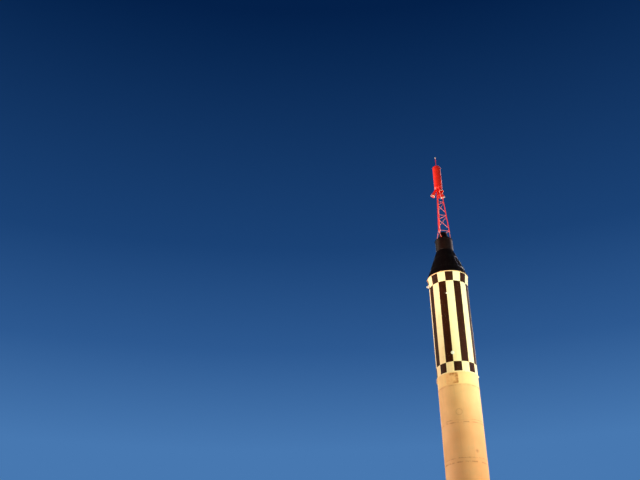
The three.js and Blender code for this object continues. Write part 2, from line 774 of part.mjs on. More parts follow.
// Access cover: a curved plate on the instrument section
const coverRing = toSolid(turnedRing(
  BODY_RADIUS + FIT_GAP,
  BODY_RADIUS + COVER.proud,
  COVER.bottom,
  COVER.top,
));
const wedgeReach = 2 * BODY_RADIUS;
const coverWedge = (height) => [
  new THREE.Vector3(0, 0, height),
  spot(COVER.from, wedgeReach, height),
  spot(COVER.to, wedgeReach, height),
];
const coverCut = toSolid(loft(coverWedge(COVER.bottom - 1), coverWedge(COVER.top + 1)));
addPart('access_cover', toGeometry(coverRing.intersect(coverCut)), 'tan');

export default rocket;
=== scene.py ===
import math

import bmesh
import bpy
from mathutils import Matrix, Vector


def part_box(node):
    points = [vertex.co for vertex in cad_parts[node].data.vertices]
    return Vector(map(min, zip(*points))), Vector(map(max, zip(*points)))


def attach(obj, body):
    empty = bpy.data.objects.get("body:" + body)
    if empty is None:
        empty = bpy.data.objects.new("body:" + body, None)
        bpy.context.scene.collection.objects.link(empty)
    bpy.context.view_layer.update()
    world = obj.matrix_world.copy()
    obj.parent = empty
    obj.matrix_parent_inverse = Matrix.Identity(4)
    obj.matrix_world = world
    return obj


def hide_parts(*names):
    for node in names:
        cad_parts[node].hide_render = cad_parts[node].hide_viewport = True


# A crewed suborbital rocket on show: its skins, paint, fasteners, shingles and lattice.
# Metres, +Z up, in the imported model's frame. An azimuth is in degrees, from -Y towards +X.

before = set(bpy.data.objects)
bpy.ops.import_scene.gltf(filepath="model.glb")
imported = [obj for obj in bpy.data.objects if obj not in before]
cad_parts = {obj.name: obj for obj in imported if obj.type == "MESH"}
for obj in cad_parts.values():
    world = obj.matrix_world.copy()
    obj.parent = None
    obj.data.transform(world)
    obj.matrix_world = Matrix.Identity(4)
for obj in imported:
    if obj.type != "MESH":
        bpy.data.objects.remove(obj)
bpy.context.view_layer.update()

# Sizes read from the frame

BODY_SIDES = 48
MOTOR_SIDES = 24


def foot(node):
    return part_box(node)[0].z


def head(node):
    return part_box(node)[1].z


def corner_radius(node, sides=BODY_SIDES):
    """Radius of the circle through the corners of a turned node with a flat at azimuth 0."""
    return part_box(node)[1].x / math.cos(math.pi / sides)


BODY_RADIUS = corner_radius("fuel_tank")
ADAPTER_RADIUS = corner_radius("spacecraft_adapter")
CLAMP_RADIUS = corner_radius("adapter_clamp_ring")
BAND_RADIUS = corner_radius("separation_band")
CAPSULE_RADIUS = corner_radius("capsule_cone")
CYLINDER_RADIUS = corner_radius("recovery_section")
CANISTER_RADIUS = corner_radius("antenna_canister", MOTOR_SIDES)
MOTOR_RADIUS = corner_radius("escape_motor", MOTOR_SIDES)
JETTISON_RADIUS = corner_radius("jettison_motor", MOTOR_SIDES)
SHELL_BOTTOM = foot("tail_shell")
TAIL_TOP = foot("oxygen_tank")
TANK_JOINT = foot("fuel_tank")
BAND_BOTTOM = foot("separation_band")
BAND_TOP = foot("instrument_section")
ADAPTER_BOTTOM = foot("spacecraft_adapter")
ADAPTER_TOP = foot("adapter_clamp_ring")
CLAMP_TOP = foot("capsule_cone")
CYLINDER_BOTTOM = foot("recovery_section")
CYLINDER_TOP = foot("antenna_canister")
TOWER_FOOT = foot("escape_tower")
TOWER_HEAD = foot("escape_motor")
MOTOR_TOP = head("escape_motor")
TIP = head("aerospike")
FIN_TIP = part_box("fin_2")[1].x
FIN_TOP = head("fin_2")
FIREWALL_BOTTOM = foot("firewall")
FIREWALL_TOP = head("firewall")

# Sizes of the finer shapes
ROUND_SIDES = 192
NARROW_SIDES = 96
SMALL_SIDES = 64
TUBE_SIDES = 32
FIT_GAP = 0.0003
EDGE_CUT = 0.004
CREASE = 35
FLAT_RADIUS = BODY_RADIUS * math.cos(math.pi / BODY_SIDES) + FIT_GAP
TAIL_WALL = 0.024
RING_BOTTOM = 0.02
RING_INNER_RADIUS = 0.8
ADAPTER_SLOPE = (ADAPTER_RADIUS - BODY_RADIUS) / (ADAPTER_TOP - ADAPTER_BOTTOM)
ADAPTER_LIP = 0.012
CONE_CHAMFER = 0.014
CONE_BOTTOM = CLAMP_TOP + CONE_CHAMFER
CONE_SLOPE = (CAPSULE_RADIUS - CYLINDER_RADIUS) / (CYLINDER_BOTTOM - CONE_BOTTOM)
CONE_ANGLE = math.atan(CONE_SLOPE)
CABIN_FLOOR = 18.40
CABIN_ROOF = 19.71
CABIN_WALL = 0.06
SHAFT_HEIGHT = 0.25
SHAFT_BORE = 0.025
QUADRANTS = (0, 90, 180, 270)

UP = Vector((0, 0, 1))
ORIGIN = Vector((0, 0, 0))
SCENE = bpy.context.scene


# Directions, places and matrices

def radial(azimuth):
    angle = math.radians(azimuth)
    return Vector((math.sin(angle), -math.cos(angle), 0))


def around(azimuth):
    return radial(azimuth + 90)


def spot(azimuth, radius, height):
    return radial(azimuth) * radius + UP * height


def axes(origin, x_way, y_way, z_way):
    """The matrix that sets X, Y and Z along three unit directions from a point."""
    turn = Matrix((x_way, y_way, z_way)).transposed().to_4x4()
    return Matrix.Translation(origin) @ turn


def along_z(origin, z_way):
    """A frame at a point with Z along a direction and X and Y square to it."""
    z_way = z_way.normalized()
    side = UP if abs(z_way.z) < 0.9 else Vector((1, 0, 0))
    x_way = side.cross(z_way).normalized()
    return axes(origin, x_way, z_way.cross(x_way), z_way)


def facing_out(azimuth, radius, height):
    """A frame with X round the body, Y up and Z outwards."""
    return axes(spot(azimuth, radius, height), around(azimuth), UP, radial(azimuth))


def standing(azimuth, place=ORIGIN):
    """A frame with X outwards, Y round the body and Z up."""
    return axes(place, radial(azimuth), around(azimuth), UP)


def cone_radius(height):
    return CAPSULE_RADIUS - (height - CONE_BOTTOM) * CONE_SLOPE


def cone_out(azimuth):
    return radial(azimuth) * math.cos(CONE_ANGLE) + UP * math.sin(CONE_ANGLE)


def cone_up(azimuth):
    return radial(azimuth) * -math.sin(CONE_ANGLE) + UP * math.cos(CONE_ANGLE)


# Plain forms: each gives corners and faces

def shell(layers, closed=False):
    """A surface through layers of corners, where a layer of one corner is a point that ends it."""
    sides = max(len(layer) for layer in layers)
    corners, rings, faces = [], [], []
    for layer in layers:
        rings.append([len(corners) + k % len(layer) for k in range(sides)])
        corners += layer
    following = rings[1:] + rings[:1] if closed else rings[1:]
    for low, high in zip(rings, following):
        for k in range(sides):
            n = (k + 1) % sides
            faces.append(list(dict.fromkeys((low[k], low[n], high[n], high[k]))))
    return corners, faces


def lathe(rows, sides=ROUND_SIDES, closed=False):
    """A surface turned about Z from rows of radius and height, its outer side listed upwards."""
    layers = []
    for radius, height in rows:
        count = sides if radius else 1
        layers.append([spot(360 * k / sides, radius, height) for k in range(count)])
    return shell(layers, closed)


def posed(form, matrix):
    corners, faces = form
    return [matrix @ corner for corner in corners], faces


def bar(start, end, radius, sides=16):
    """A round bar from one point to another."""
    way = end - start
    rows = [(0, 0), (radius, 0), (radius, way.length), (0, way.length)]
    return posed(lathe(rows, sides), along_z(start, way))


def loft(sections):
    """A closed body through outlines that have the same number of corners."""
    corners, faces = shell(sections)
    count, last = len(sections[0]), len(corners) - len(sections[0])
    return corners, faces + [list(range(count))[::-1], list(range(last, last + count))]


def prism(outline, push):
    """A closed body between an outline and the same outline pushed along a direction."""
    return loft([outline, [corner + push for corner in outline]])


def block(matrix, x_range, y_range, z_range):
    """A box in a turned frame, from a range along each of its axes."""
    (left, right), (near, far), (low, high) = x_range, y_range, z_range
    outline = [Vector((x, y, low)) for x, y in ((left, near), (right, near), (right, far), (left, far))]
    return posed(prism(outline, UP * (high - low)), matrix)


def rounded_outline(size, corner, pitch):
    """A rectangle with round corners as points along it, no further apart than the pitch on its sides."""
    x, y = size[0] / 2 - corner, size[1] / 2 - corner
    points = []
    for cx, cy, start in ((x, y, 0), (-x, y, 90), (-x, -y, 180), (x, -y, 270)):
        for step in range(5):
            angle = math.radians(start + 22.5 * step)
            points.append((cx + corner * math.cos(angle), cy + corner * math.sin(angle)))
    dense = []
    for (ax, ay), (bx, by) in zip(points, points[1:] + points[:1]):
        parts = max(1, math.ceil(math.hypot(bx - ax, by - ay) / pitch))
        dense += [(ax + (bx - ax) * k / parts, ay + (by - ay) * k / parts) for k in range(parts)]
    return dense


def layers_on(surface, outline, steps):
    """The outline on a surface(across, up, out), once for each step's width, height and distance out."""
    return [[surface(x * wide, y * tall, out) for x, y in outline] for wide, tall, out in steps]


def plate(surface, size, corner, proud, cut=0.002, pitch=0.03, sink=0.004):
    """A thin plate with round corners that follows a surface."""
    wide, tall = (1 - 2 * cut / side for side in size)
    steps = [(1, 1, -sink), (1, 1, proud - cut), (wide, tall, proud)]
    steps += [(wide * share, tall * share, proud) for share in (0.8, 0.6, 0.4, 0.2)]
    layers = layers_on(surface, rounded_outline(size, corner, pitch), steps)
    return shell([[surface(0, 0, -sink)], *layers, [surface(0, 0, proud)]])


def rim(surface, size, corner, width, proud, pitch=0.03, sink=0.004):
    """A flat frame of one width round an opening, laid on a surface."""
    grown = [(side + 2 * width) / side for side in size]
    steps = ((1, 1, -sink), (*grown, -sink), (*grown, proud), (1, 1, proud))
    return shell(layers_on(surface, rounded_outline(size, corner, pitch), steps), closed=True)


def on_body(azimuth, height, radius=BODY_RADIUS, slope=0.0):
    """The surface round a point of the body, whose radius grows upwards by the slope."""
    def surface(across, up, out):
        here = radius + up * slope
        return spot(azimuth + math.degrees(across / here), here + out, height + up)
    return surface


def on_cone(azimuth, middle, turn, rise):
    """The cone's surface round a point, across in shares of a turn and up in shares of a rise."""
    def surface(across, up, out):
        here, height = azimuth + across * turn, middle + up * rise
        return spot(here, cone_radius(height), height) + cone_out(here) * out
    return surface


def walk(outline, pitch):
    """Points evenly spaced along a closed outline."""
    lengths = [math.dist(a, b) for a, b in zip(outline, outline[1:] + outline[:1])]
    total = sum(lengths)
    count = max(4, round(total / pitch))
    places, done, k = [], 0.0, 0
    for step in range(count):
        target = total * step / count
        while done + lengths[k] < target:
            done += lengths[k]
            k += 1
        share = (target - done) / lengths[k]
        (ax, ay), (bx, by) = outline[k], outline[(k + 1) % len(outline)]
        places.append((ax + (bx - ax) * share, ay + (by - ay) * share))
    return places


# Pieces: meshes with their finish and body


def new_mesh(name, groups):
    """One mesh from groups of a finish and the forms that take it."""
    corners, faces, inks = [], [], []
    for ink, (_, forms) in enumerate(groups):
        for form_corners, form_faces in forms:
            start = len(corners)
            corners += form_corners
            faces += [[start + k for k in face] for face in form_faces]
            inks += [ink] * len(form_faces)
    mesh = bpy.data.meshes.new(name)
    mesh.from_pydata([tuple(corner) for corner in corners], [], faces)
    for finish, _ in groups:
        mesh.materials.append(finish)
    mesh.polygons.foreach_set("material_index", inks)
    work = bmesh.new()
    work.from_mesh(mesh)
    bmesh.ops.recalc_face_normals(work, faces=work.faces)
    work.to_mesh(mesh)
    work.free()
    return mesh


def new_object(name, mesh):
    made = bpy.data.objects.new(name, mesh)
    SCENE.collection.objects.link(made)
    return made


def plain_mesh(piece):
    """The mesh that a piece's live modifiers make."""
    graph = bpy.context.evaluated_depsgraph_get()
    return bpy.data.meshes.new_from_object(piece.evaluated_get(graph), depsgraph=graph)


def apply_modifiers(piece):
    mesh = plain_mesh(piece)
    piece.modifiers.clear()
    piece.data = mesh


def settle(piece, body="rocket", node=None):
    """Makes a piece plain and softly shaded, ties it to its body and puts it in a CAD node's place."""
    if piece.modifiers:
        apply_modifiers(piece)
    piece.data.shade_smooth()
    piece.data.set_sharp_from_angle(angle=math.radians(CREASE))
    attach(piece, body)
    if node:
        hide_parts(node)


def add_bevel(piece, width):
    bevel = piece.modifiers.new("edges", "BEVEL")
    bevel.width = width
    bevel.segments = 2
    bevel.limit_method = "ANGLE"
    bevel.angle_limit = math.radians(CREASE)
    bevel.use_clamp_overlap = True


def build(name, finish, forms, node=None, body="rocket", bevel=0.0, more=()):
    """A piece from closed forms of one finish, and more groups of a finish and its forms."""
    piece = new_object(name, new_mesh(name, [(finish, forms), *more]))
    if bevel:
        add_bevel(piece, bevel)
    settle(piece, body, node)


def finished(node, finish, forms, body="rocket", bevel=0.0, more=()):
    """A piece that takes a CAD node's place."""
    build(node + "_finished", finish, forms, node, body, bevel, more)


def softened(node, finish, bevel, body="rocket"):
    """A copy of a CAD node with its triangles joined into faces and its edges rounded."""
    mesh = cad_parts[node].data.copy()
    mesh.materials.clear()
    mesh.materials.append(finish)
    work = bmesh.new()
    work.from_mesh(mesh)
    bmesh.ops.remove_doubles(work, verts=work.verts, dist=1e-5)
    bmesh.ops.dissolve_limit(work, angle_limit=math.radians(1), verts=work.verts, edges=work.edges)
    work.to_mesh(mesh)
    work.free()
    piece = new_object(node + "_finished", mesh)
    add_bevel(piece, bevel)
    settle(piece, body, node)


def cut(piece, operation, form):
    """Cuts a piece by a closed form, or keeps only what lies in it."""
    cutter = new_object("cutter", new_mesh("cutter", [(piece.data.materials[0], [form])]))
    carve = piece.modifiers.new("carve", "BOOLEAN")
    carve.operation = operation
    carve.solver = "EXACT"
    carve.object = cutter
    apply_modifiers(piece)
    bpy.data.objects.remove(cutter)


def joined(name, meshes):
    """One object from several plain meshes."""
    work = bmesh.new()
    finishes = []
    for mesh in meshes:
        first = len(work.faces)
        work.from_mesh(mesh)
        work.faces.ensure_lookup_table()
        for finish in mesh.materials:
            if finish not in finishes:
                finishes.append(finish)
        for face in work.faces[first:]:
            face.material_index = finishes.index(mesh.materials[face.material_index])
    merged = bpy.data.meshes.new(name)
    work.to_mesh(merged)
    work.free()
    for finish in finishes:
        merged.materials.append(finish)
    return new_object(name, merged)


# Node graphs

class Graph:
    """Nodes and links of one tree, written a node at a time."""

    def __init__(self, tree):
        self.tree = tree

    def node(self, kind, feeds=None, **settings):
        made = self.tree.nodes.new(kind)
        for key, value in settings.items():
            setattr(made, key, value)
        for key, value in (feeds or {}).items():
            self.feed(made.inputs[key], value)
        return made

    def out(self, kind, feeds=None, **settings):
        """The first output of a new node."""
        return self.node(kind, feeds, **settings).outputs[0]

    def feed(self, socket, value):
        if isinstance(value, bpy.types.NodeSocket):
            self.tree.links.new(value, socket)
        else:
            socket.default_value = value

    def maths(self, operation, *values, clamp=False):
        feeds = dict(enumerate(values))
        return self.out("ShaderNodeMath", feeds, operation=operation, use_clamp=clamp)

    def times(self, value, factor, clamp=False):
        return self.maths("MULTIPLY", value, factor, clamp=clamp)

    def line(self, value, factor, base, clamp=False):
        """A value times a factor, added to a base."""
        return self.maths("MULTIPLY_ADD", value, factor, base, clamp=clamp)

    def apart(self, value, other):
        return self.maths("ABSOLUTE", self.maths("SUBTRACT", value, other))


# Growth trees: one item set on every spot, and tubes along every edge

SPIN_SEED = 4
HEAD_TAPER = 0.62
HEAD_SINK = 0.0006
BEAD_STATIONS = 13
BEAD_SIDES = 10


def new_tree(name, sizes):
    """A Geometry Nodes tree whose named inputs are a shape, its sizes and its finish."""
    tree = bpy.data.node_groups.new(name, "GeometryNodeTree")
    inputs = {"Spots": "Geometry", **sizes, "Finish": "Material"}
    for label, kind in inputs.items():
        tree.interface.new_socket(label, in_out="INPUT", socket_type="NodeSocket" + kind)
    tree.interface.new_socket("Result", in_out="OUTPUT", socket_type="NodeSocketGeometry")
    graph = Graph(tree)
    return graph, graph.node("NodeGroupInput").outputs


def end_tree(graph, shape, finish):
    """Makes the instances real, gives them their finish and sends them out."""
    real = graph.out("GeometryNodeRealizeInstances", {"Geometry": shape})
    painted = graph.out("GeometryNodeSetMaterial", {"Geometry": real, "Material": finish})
    graph.node("NodeGroupOutput", {0: painted})
    return graph.tree


def named(graph, name, kind):
    return graph.out("GeometryNodeInputNamedAttribute", {"Name": name}, data_type=kind)


def spot_tree(name, sizes, make_item, spin=False):
    """A tree that sets an item on every spot: its Z on the spot's facing, its Y on the spot's run."""
    graph, inputs = new_tree(name, sizes)
    item = make_item(graph, inputs)
    upright = graph.out("FunctionNodeAlignRotationToVector", {
        "Vector": named(graph, "facing", "FLOAT_VECTOR")}, axis="Z")
    turned = graph.out("FunctionNodeAlignRotationToVector", {
        "Rotation": upright, "Vector": named(graph, "run", "FLOAT_VECTOR")}, axis="Y", pivot_axis="Z")
    if spin:
        angle = graph.node("FunctionNodeRandomValue", {"Max": math.pi, "Seed": SPIN_SEED}, data_type="FLOAT")
        twist = graph.out("FunctionNodeAxisAngleToRotation", {"Axis": UP, "Angle": angle.outputs["Value"]})
        turned = graph.out("FunctionNodeRotateRotation", {
            "Rotation": turned, "Rotate By": twist}, rotation_space="LOCAL")
    stretch = graph.out("ShaderNodeCombineXYZ", {"X": 1.0, "Y": named(graph, "reach", "FLOAT"), "Z": 1.0})
    points = graph.out("GeometryNodeMeshToPoints", {"Mesh": inputs["Spots"]})
    placed = graph.out("GeometryNodeInstanceOnPoints", {
        "Points": points, "Instance": item, "Rotation": turned, "Scale": stretch})
    return end_tree(graph, placed, inputs["Finish"])


def screw_item(graph, inputs):
    """A low head with sloped sides, sunk a little into what carries it."""
    radius = inputs["Head radius"]
    cone = graph.out("GeometryNodeMeshCone", {
        "Vertices": inputs["Sides"], "Radius Top": graph.times(radius, HEAD_TAPER), "Radius Bottom": radius,
        "Depth": inputs["Head height"]})
    sunk = graph.out("ShaderNodeCombineXYZ", {"Z": -HEAD_SINK})
    return graph.out("GeometryNodeTransform", {"Geometry": cone, "Translation": sunk})


def bead_item(graph, inputs):
    """A long low swelling with round ends, one metre long, half of it sunk."""
    straight = graph.out("GeometryNodeCurvePrimitiveLine", {"Start": (0, -0.5, 0), "End": (0, 0.5, 0)})
    fine = graph.out("GeometryNodeResampleCurve", {"Curve": straight, "Count": BEAD_STATIONS})
    centred = graph.line(graph.out("GeometryNodeSplineParameter"), 2.0, -1.0)
    steep = graph.maths("POWER", graph.maths("ABSOLUTE", centred), 8.0)
    thick = graph.maths("SQRT", graph.maths("SUBTRACT", 1.0, steep), clamp=True)
    radius = graph.maths("MAXIMUM", thick, 0.02)
    shaped = graph.out("GeometryNodeSetCurveRadius", {"Curve": fine, "Radius": radius})
    circle = graph.out("GeometryNodeCurvePrimitiveCircle", {"Resolution": BEAD_SIDES, "Radius": 1.0})
    tube = graph.out("GeometryNodeCurveToMesh", {
        "Curve": shaped, "Profile Curve": circle, "Scale": thick, "Fill Caps": True})
    size = graph.out("ShaderNodeCombineXYZ", {
        "X": graph.times(inputs["Width"], 0.5), "Y": 1.0, "Z": inputs["Height"]})
    return graph.out("GeometryNodeTransform", {"Geometry": tube, "Scale": size})


def rib_item(graph, inputs):
    """A square bar one metre long, its foot on the spot."""
    size = graph.out("ShaderNodeCombineXYZ", {"X": inputs["Width"], "Y": 1.0, "Z": inputs["Height"]})
    cube = graph.out("GeometryNodeMeshCube", {"Size": size})
    lift = graph.out("ShaderNodeCombineXYZ", {"Z": graph.times(inputs["Height"], 0.5)})
    return graph.out("GeometryNodeTransform", {"Geometry": cube, "Translation": lift})


def tube_tree():
    """A tree that runs a round tube along every loose edge."""
    graph, inputs = new_tree("tubes", {"Tube radius": "Float", "Sides": "Int"})
    curve = graph.out("GeometryNodeMeshToCurve", {"Mesh": inputs["Spots"]})
    circle = graph.out("GeometryNodeCurvePrimitiveCircle", {
        "Resolution": inputs["Sides"], "Radius": inputs["Tube radius"]})
    tube = graph.out("GeometryNodeCurveToMesh", {"Curve": curve, "Profile Curve": circle, "Fill Caps": True})
    return end_tree(graph, tube, inputs["Finish"])


HEAD_SIZES = {"Head radius": "Float", "Head height": "Float", "Sides": "Int"}
STRIP_SIZES = {"Width": "Float", "Height": "Float"}
SCREWS = spot_tree("screws", HEAD_SIZES, screw_item, spin=True)
BEADS = spot_tree("beads", STRIP_SIZES, bead_item)
RIBS = spot_tree("ribs", STRIP_SIZES, rib_item)
TUBES = tube_tree()

# Screw heads: radius, height, sides
HEADS = {
    "body": (0.0075, 0.0038, 8),
    "cover": (0.007, 0.004, 8),
    "boss": (0.006, 0.005, 6),
    "duct": (0.008, 0.005, 6),
    "ring": (0.011, 0.008, 6),
    "rivet": (0.006, 0.003, 8),
    "rudder": (0.005, 0.0025, 8),
    "bracket": (0.008, 0.006, 6),
    "panel": (0.005, 0.003, 8),
    "tower": (0.008, 0.007, 6),
    "motor": (0.005, 0.004, 6),
}


def grow(source, tree, sizes, finish):
    """Runs a tree on a mesh of spots or edges and gives the plain mesh that it makes."""
    carrier = new_object("carrier", source)
    modifier = carrier.modifiers.new("grow", "NODES")
    modifier.node_group = tree
    values = {**sizes, "Finish": finish}
    for item in tree.interface.items_tree:
        if item.in_out == "INPUT" and item.name in values:
            modifier[item.identifier] = values[item.name]
    mesh = plain_mesh(carrier)
    bpy.data.objects.remove(carrier)
    return mesh


def scatter(tree, spots, sizes, finish):
    """Sets a tree's item on spots, each a point, a facing, a run and a reach along the run."""
    source = bpy.data.meshes.new("spots")
    source.from_pydata([tuple(point) for point, _, _, _ in spots], [], [])
    for label, kind, key, column in (
            ("facing", "FLOAT_VECTOR", "vector", 1), ("run", "FLOAT_VECTOR", "vector", 2),
            ("reach", "FLOAT", "value", 3)):
        attribute = source.attributes.new(label, kind, "POINT")
        for k, entry in enumerate(spots):
            setattr(attribute.data[k], key, entry[column])
    return grow(source, tree, sizes, finish)


def strips(tree, spots, width, height, finish):
    """The mesh of ribs or beads on spots that are as scatter takes them."""
    return scatter(tree, spots, {"Width": width, "Height": height}, finish)


def tubes(edges, radius, sides, finish):
    """The mesh of tubes along loose edges, each edge a pair of points."""
    source = bpy.data.meshes.new("edges")
    points = [tuple(point) for edge in edges for point in edge]
    source.from_pydata(points, [(2 * k, 2 * k + 1) for k in range(len(edges))], [])
    return grow(source, TUBES, {"Tube radius": radius, "Sides": sides}, finish)


def screws(spots, head_kind, finish):
    """The mesh of screw heads on spots that are each a point and a facing."""
    radius, height, sides = HEADS[head_kind]
    full = [(point, facing, UP if abs(facing.z) < 0.9 else radial(90), 1.0) for point, facing in spots]
    return scatter(SCREWS, full, {"Head radius": radius, "Head height": height, "Sides": sides}, finish)


def add_screws(name, spots, head_kind, finish, body="rocket"):
    settle(joined(name, [screws(spots, head_kind, finish)]), body)


def hoop_spots(height, radius, count, tilt=0.0, start=0.0):
    """Spots round the body, facing out, tilted up by an angle in degrees."""
    lean = math.radians(tilt)
    spots = []
    for k in range(count):
        azimuth = start + 360 * k / count
        facing = radial(azimuth) * math.cos(lean) + UP * math.sin(lean)
        spots.append((spot(azimuth, radius, height), facing))
    return spots


def plate_spots(surface, size, corner, inset, pitch, out):
    """Spots along a plate's edge, a fixed way in from it."""
    outline = rounded_outline([side - 2 * inset for side in size], max(corner - inset, 0.004), pitch)
    spots = []
    for across, up in walk(outline, pitch):
        point = surface(across, up, out)
        spots.append((point, (surface(across, up, out + 0.1) - point).normalized()))
    return spots


# Finishes

class Finish(Graph):
    """A material whose colour, roughness and relief come from nodes on object coordinates."""

    def __init__(self, name, slot, metallic=0.0, specular=0.5, coat=0.0):
        self.material = bpy.data.materials.new(name)
        self.material.use_nodes = True
        super().__init__(self.material.node_tree)
        self.tree.nodes.clear()
        self.shader = self.node("ShaderNodeBsdfPrincipled", {
            "Metallic": metallic, "Specular IOR Level": specular,
            "Coat Weight": coat, "Coat Roughness": 0.2})
        self.node("ShaderNodeOutputMaterial", {"Surface": self.shader.outputs[0]})
        self.place = self.node("ShaderNodeTexCoord").outputs["Object"]
        self.x, self.y, self.z = self.node("ShaderNodeSeparateXYZ", {0: self.place}).outputs

    def span(self, value, low, high, first=0.0, last=1.0):
        """A value brought from one range into another and held there."""
        return self.out("ShaderNodeMapRange", {0: value, 1: low, 2: high, 3: first, 4: last})

    def step(self, value, level, soft):
        """0 below a level and 1 above it, or the other way round where the soft half width is negative."""
        return self.span(value, level - soft, level + soft)

    def grain(self, scale, stretch=(1, 1, 1), detail=4.0, roughness=0.55, shift=0.0):
        """Noise of so many grains a metre, stretched along the axes."""
        mapped = self.out("ShaderNodeMapping", {
            "Vector": self.place, "Scale": stretch, "Location": (shift, shift, shift)})
        return self.out("ShaderNodeTexNoise", {
            "Vector": mapped, "Scale": scale, "Detail": detail, "Roughness": roughness})

    def tint(self, amount, first, second):
        """A mix of two colours."""
        made = self.node("ShaderNodeMix", {0: amount}, data_type="RGBA")
        for socket, colour in ((6, first), (7, second)):
            linked = isinstance(colour, bpy.types.NodeSocket)
            self.feed(made.inputs[socket], colour if linked else (*colour, 1))
        return made.outputs[2]

    def gap(self, centre):
        """The distance from a point."""
        made = self.node("ShaderNodeVectorMath", {0: self.place, 1: centre}, operation="DISTANCE")
        return made.outputs["Value"]

    def near_any(self, places):
        """1 on the body at places of azimuth, height and reach, falling to 0 at their reach."""
        most = 0.0
        for azimuth, height, reach in places:
            near = self.span(self.gap(spot(azimuth, BODY_RADIUS, height)), reach, 0.0)
            most = self.maths("MAXIMUM", most, near)
        return most

    def done(self, colour, roughness, layers):
        """The material, with bump from layers of a height and the distance in metres that it stands for."""
        self.feed(self.shader.inputs["Base Color"], colour)
        self.feed(self.shader.inputs["Roughness"], roughness)
        normal = {}
        for height, distance in layers:
            feeds = {"Height": height, "Distance": distance, "Strength": 1.0, **normal}
            normal = {"Normal": self.out("ShaderNodeBump", feeds)}
        self.feed(self.shader.inputs["Normal"], normal["Normal"])
        return self.material


# Paint on the body: check rows above and below long stripes, sixteen divisions round it
CHECK_DIVISIONS = 16
STRIPE_BOTTOM = 13.891
CHECK_BOTTOM = 13.449
WHITE_BOTTOM = 13.405
PAINT_EDGE = 0.002

# Shades of the aged paint, a darker and a lighter one
TAN_SHADES = ((0.70, 0.385, 0.185), (0.78, 0.46, 0.235))
CREAM_SHADES = ((0.84, 0.54, 0.24), (0.90, 0.64, 0.32))
WHITE_SHADES = ((0.93, 0.72, 0.42), (0.95, 0.78, 0.50))
CHECK_SHADES = ((0.022, 0.0045, 0.0012), (0.040, 0.0095, 0.0028))
PATCH_COLOUR = (0.60, 0.42, 0.24)
STREAK_COLOUR = (0.48, 0.32, 0.17)
RUST_COLOUR = (0.26, 0.085, 0.025)

# Rust and dirt spots on the body: azimuth, height, reach
RUST_SPOTS = (
    (-50, 11.23, 0.045),
    (30, 9.98, 0.11),
    (27, 13.40, 0.035),
    (1, 13.42, 0.030),
    (16, 13.43, 0.035),
    (-20, 16.95, 0.04),
    (150, 12.30, 0.09),
    (205, 9.10, 0.12),
    (95, 6.40, 0.10),
    (-80, 4.20, 0.12),
)
# Lines of broken dirt round the body: height, half height
DIRT_LINES = (
    (11.19, 0.030),
    (11.30, 0.018),
    (9.53, 0.040),
    (9.70, 0.022),
    (7.86, 0.024),
    (6.20, 0.020),
    (4.54, 0.020),
    (12.81, 0.018),
)
RING_STAIN = {"azimuth": -10, "height": 11.63, "radius": 0.13, "width": 0.035, "strength": 0.45}

# Stains on the tan cover: azimuth, height, reach
COVER_STAINS = (
    (-23, 13.36, 0.12),
    (-16, 13.35, 0.13),
    (-9, 13.34, 0.12),
    (-6, 13.22, 0.14),
    (-4, 13.08, 0.15),
    (-5, 12.95, 0.15),
    (-12, 12.90, 0.14),
)


def body_mask(finish):
    """1 where the body's dark checks and stripes are."""
    wander = finish.maths("SUBTRACT", finish.grain(9, detail=5), 0.5)
    azimuth = finish.maths("ARCTAN2", finish.x, finish.times(finish.y, -1.0))
    turns = finish.maths("COSINE", finish.times(azimuth, CHECK_DIVISIONS / 2))
    wave = finish.line(wander, 0.05, turns)
    height = finish.line(wander, 0.008, finish.z)
    above = finish.step(height, ADAPTER_BOTTOM, PAINT_EDGE)
    below = finish.step(height, STRIPE_BOTTOM, -PAINT_EDGE)
    side = finish.line(finish.maths("ADD", above, below), 2.0, -1.0)
    checks = finish.step(finish.times(wave, side), 0.0, 0.02)
    started = finish.step(height, CHECK_BOTTOM, PAINT_EDGE)
    ended = finish.step(finish.z, ADAPTER_TOP - ADAPTER_LIP - PAINT_EDGE, -PAINT_EDGE)
    return finish.times(finish.times(checks, started), ended)


def body_dirt(finish, patchy, fine):
    """1 where rust spots, the ring stain and broken lines of dirt are on the body."""
    lines = 0.0
    for height, half in DIRT_LINES:
        line = finish.span(finish.apart(finish.z, height), half, half * 0.2)
        lines = finish.maths("MAXIMUM", lines, line)
    lines = finish.times(lines, finish.span(patchy, 0.42, 0.58))
    gap = finish.gap(spot(RING_STAIN["azimuth"], BODY_RADIUS, RING_STAIN["height"]))
    off = finish.apart(gap, RING_STAIN["radius"])
    ring = finish.span(off, RING_STAIN["width"], 0.0, 0.0, RING_STAIN["strength"])
    dirt = finish.maths("MAXIMUM", finish.maths("MAXIMUM", lines, finish.near_any(RUST_SPOTS)), ring)
    return finish.times(dirt, finish.span(fine, 0.30, 0.62))


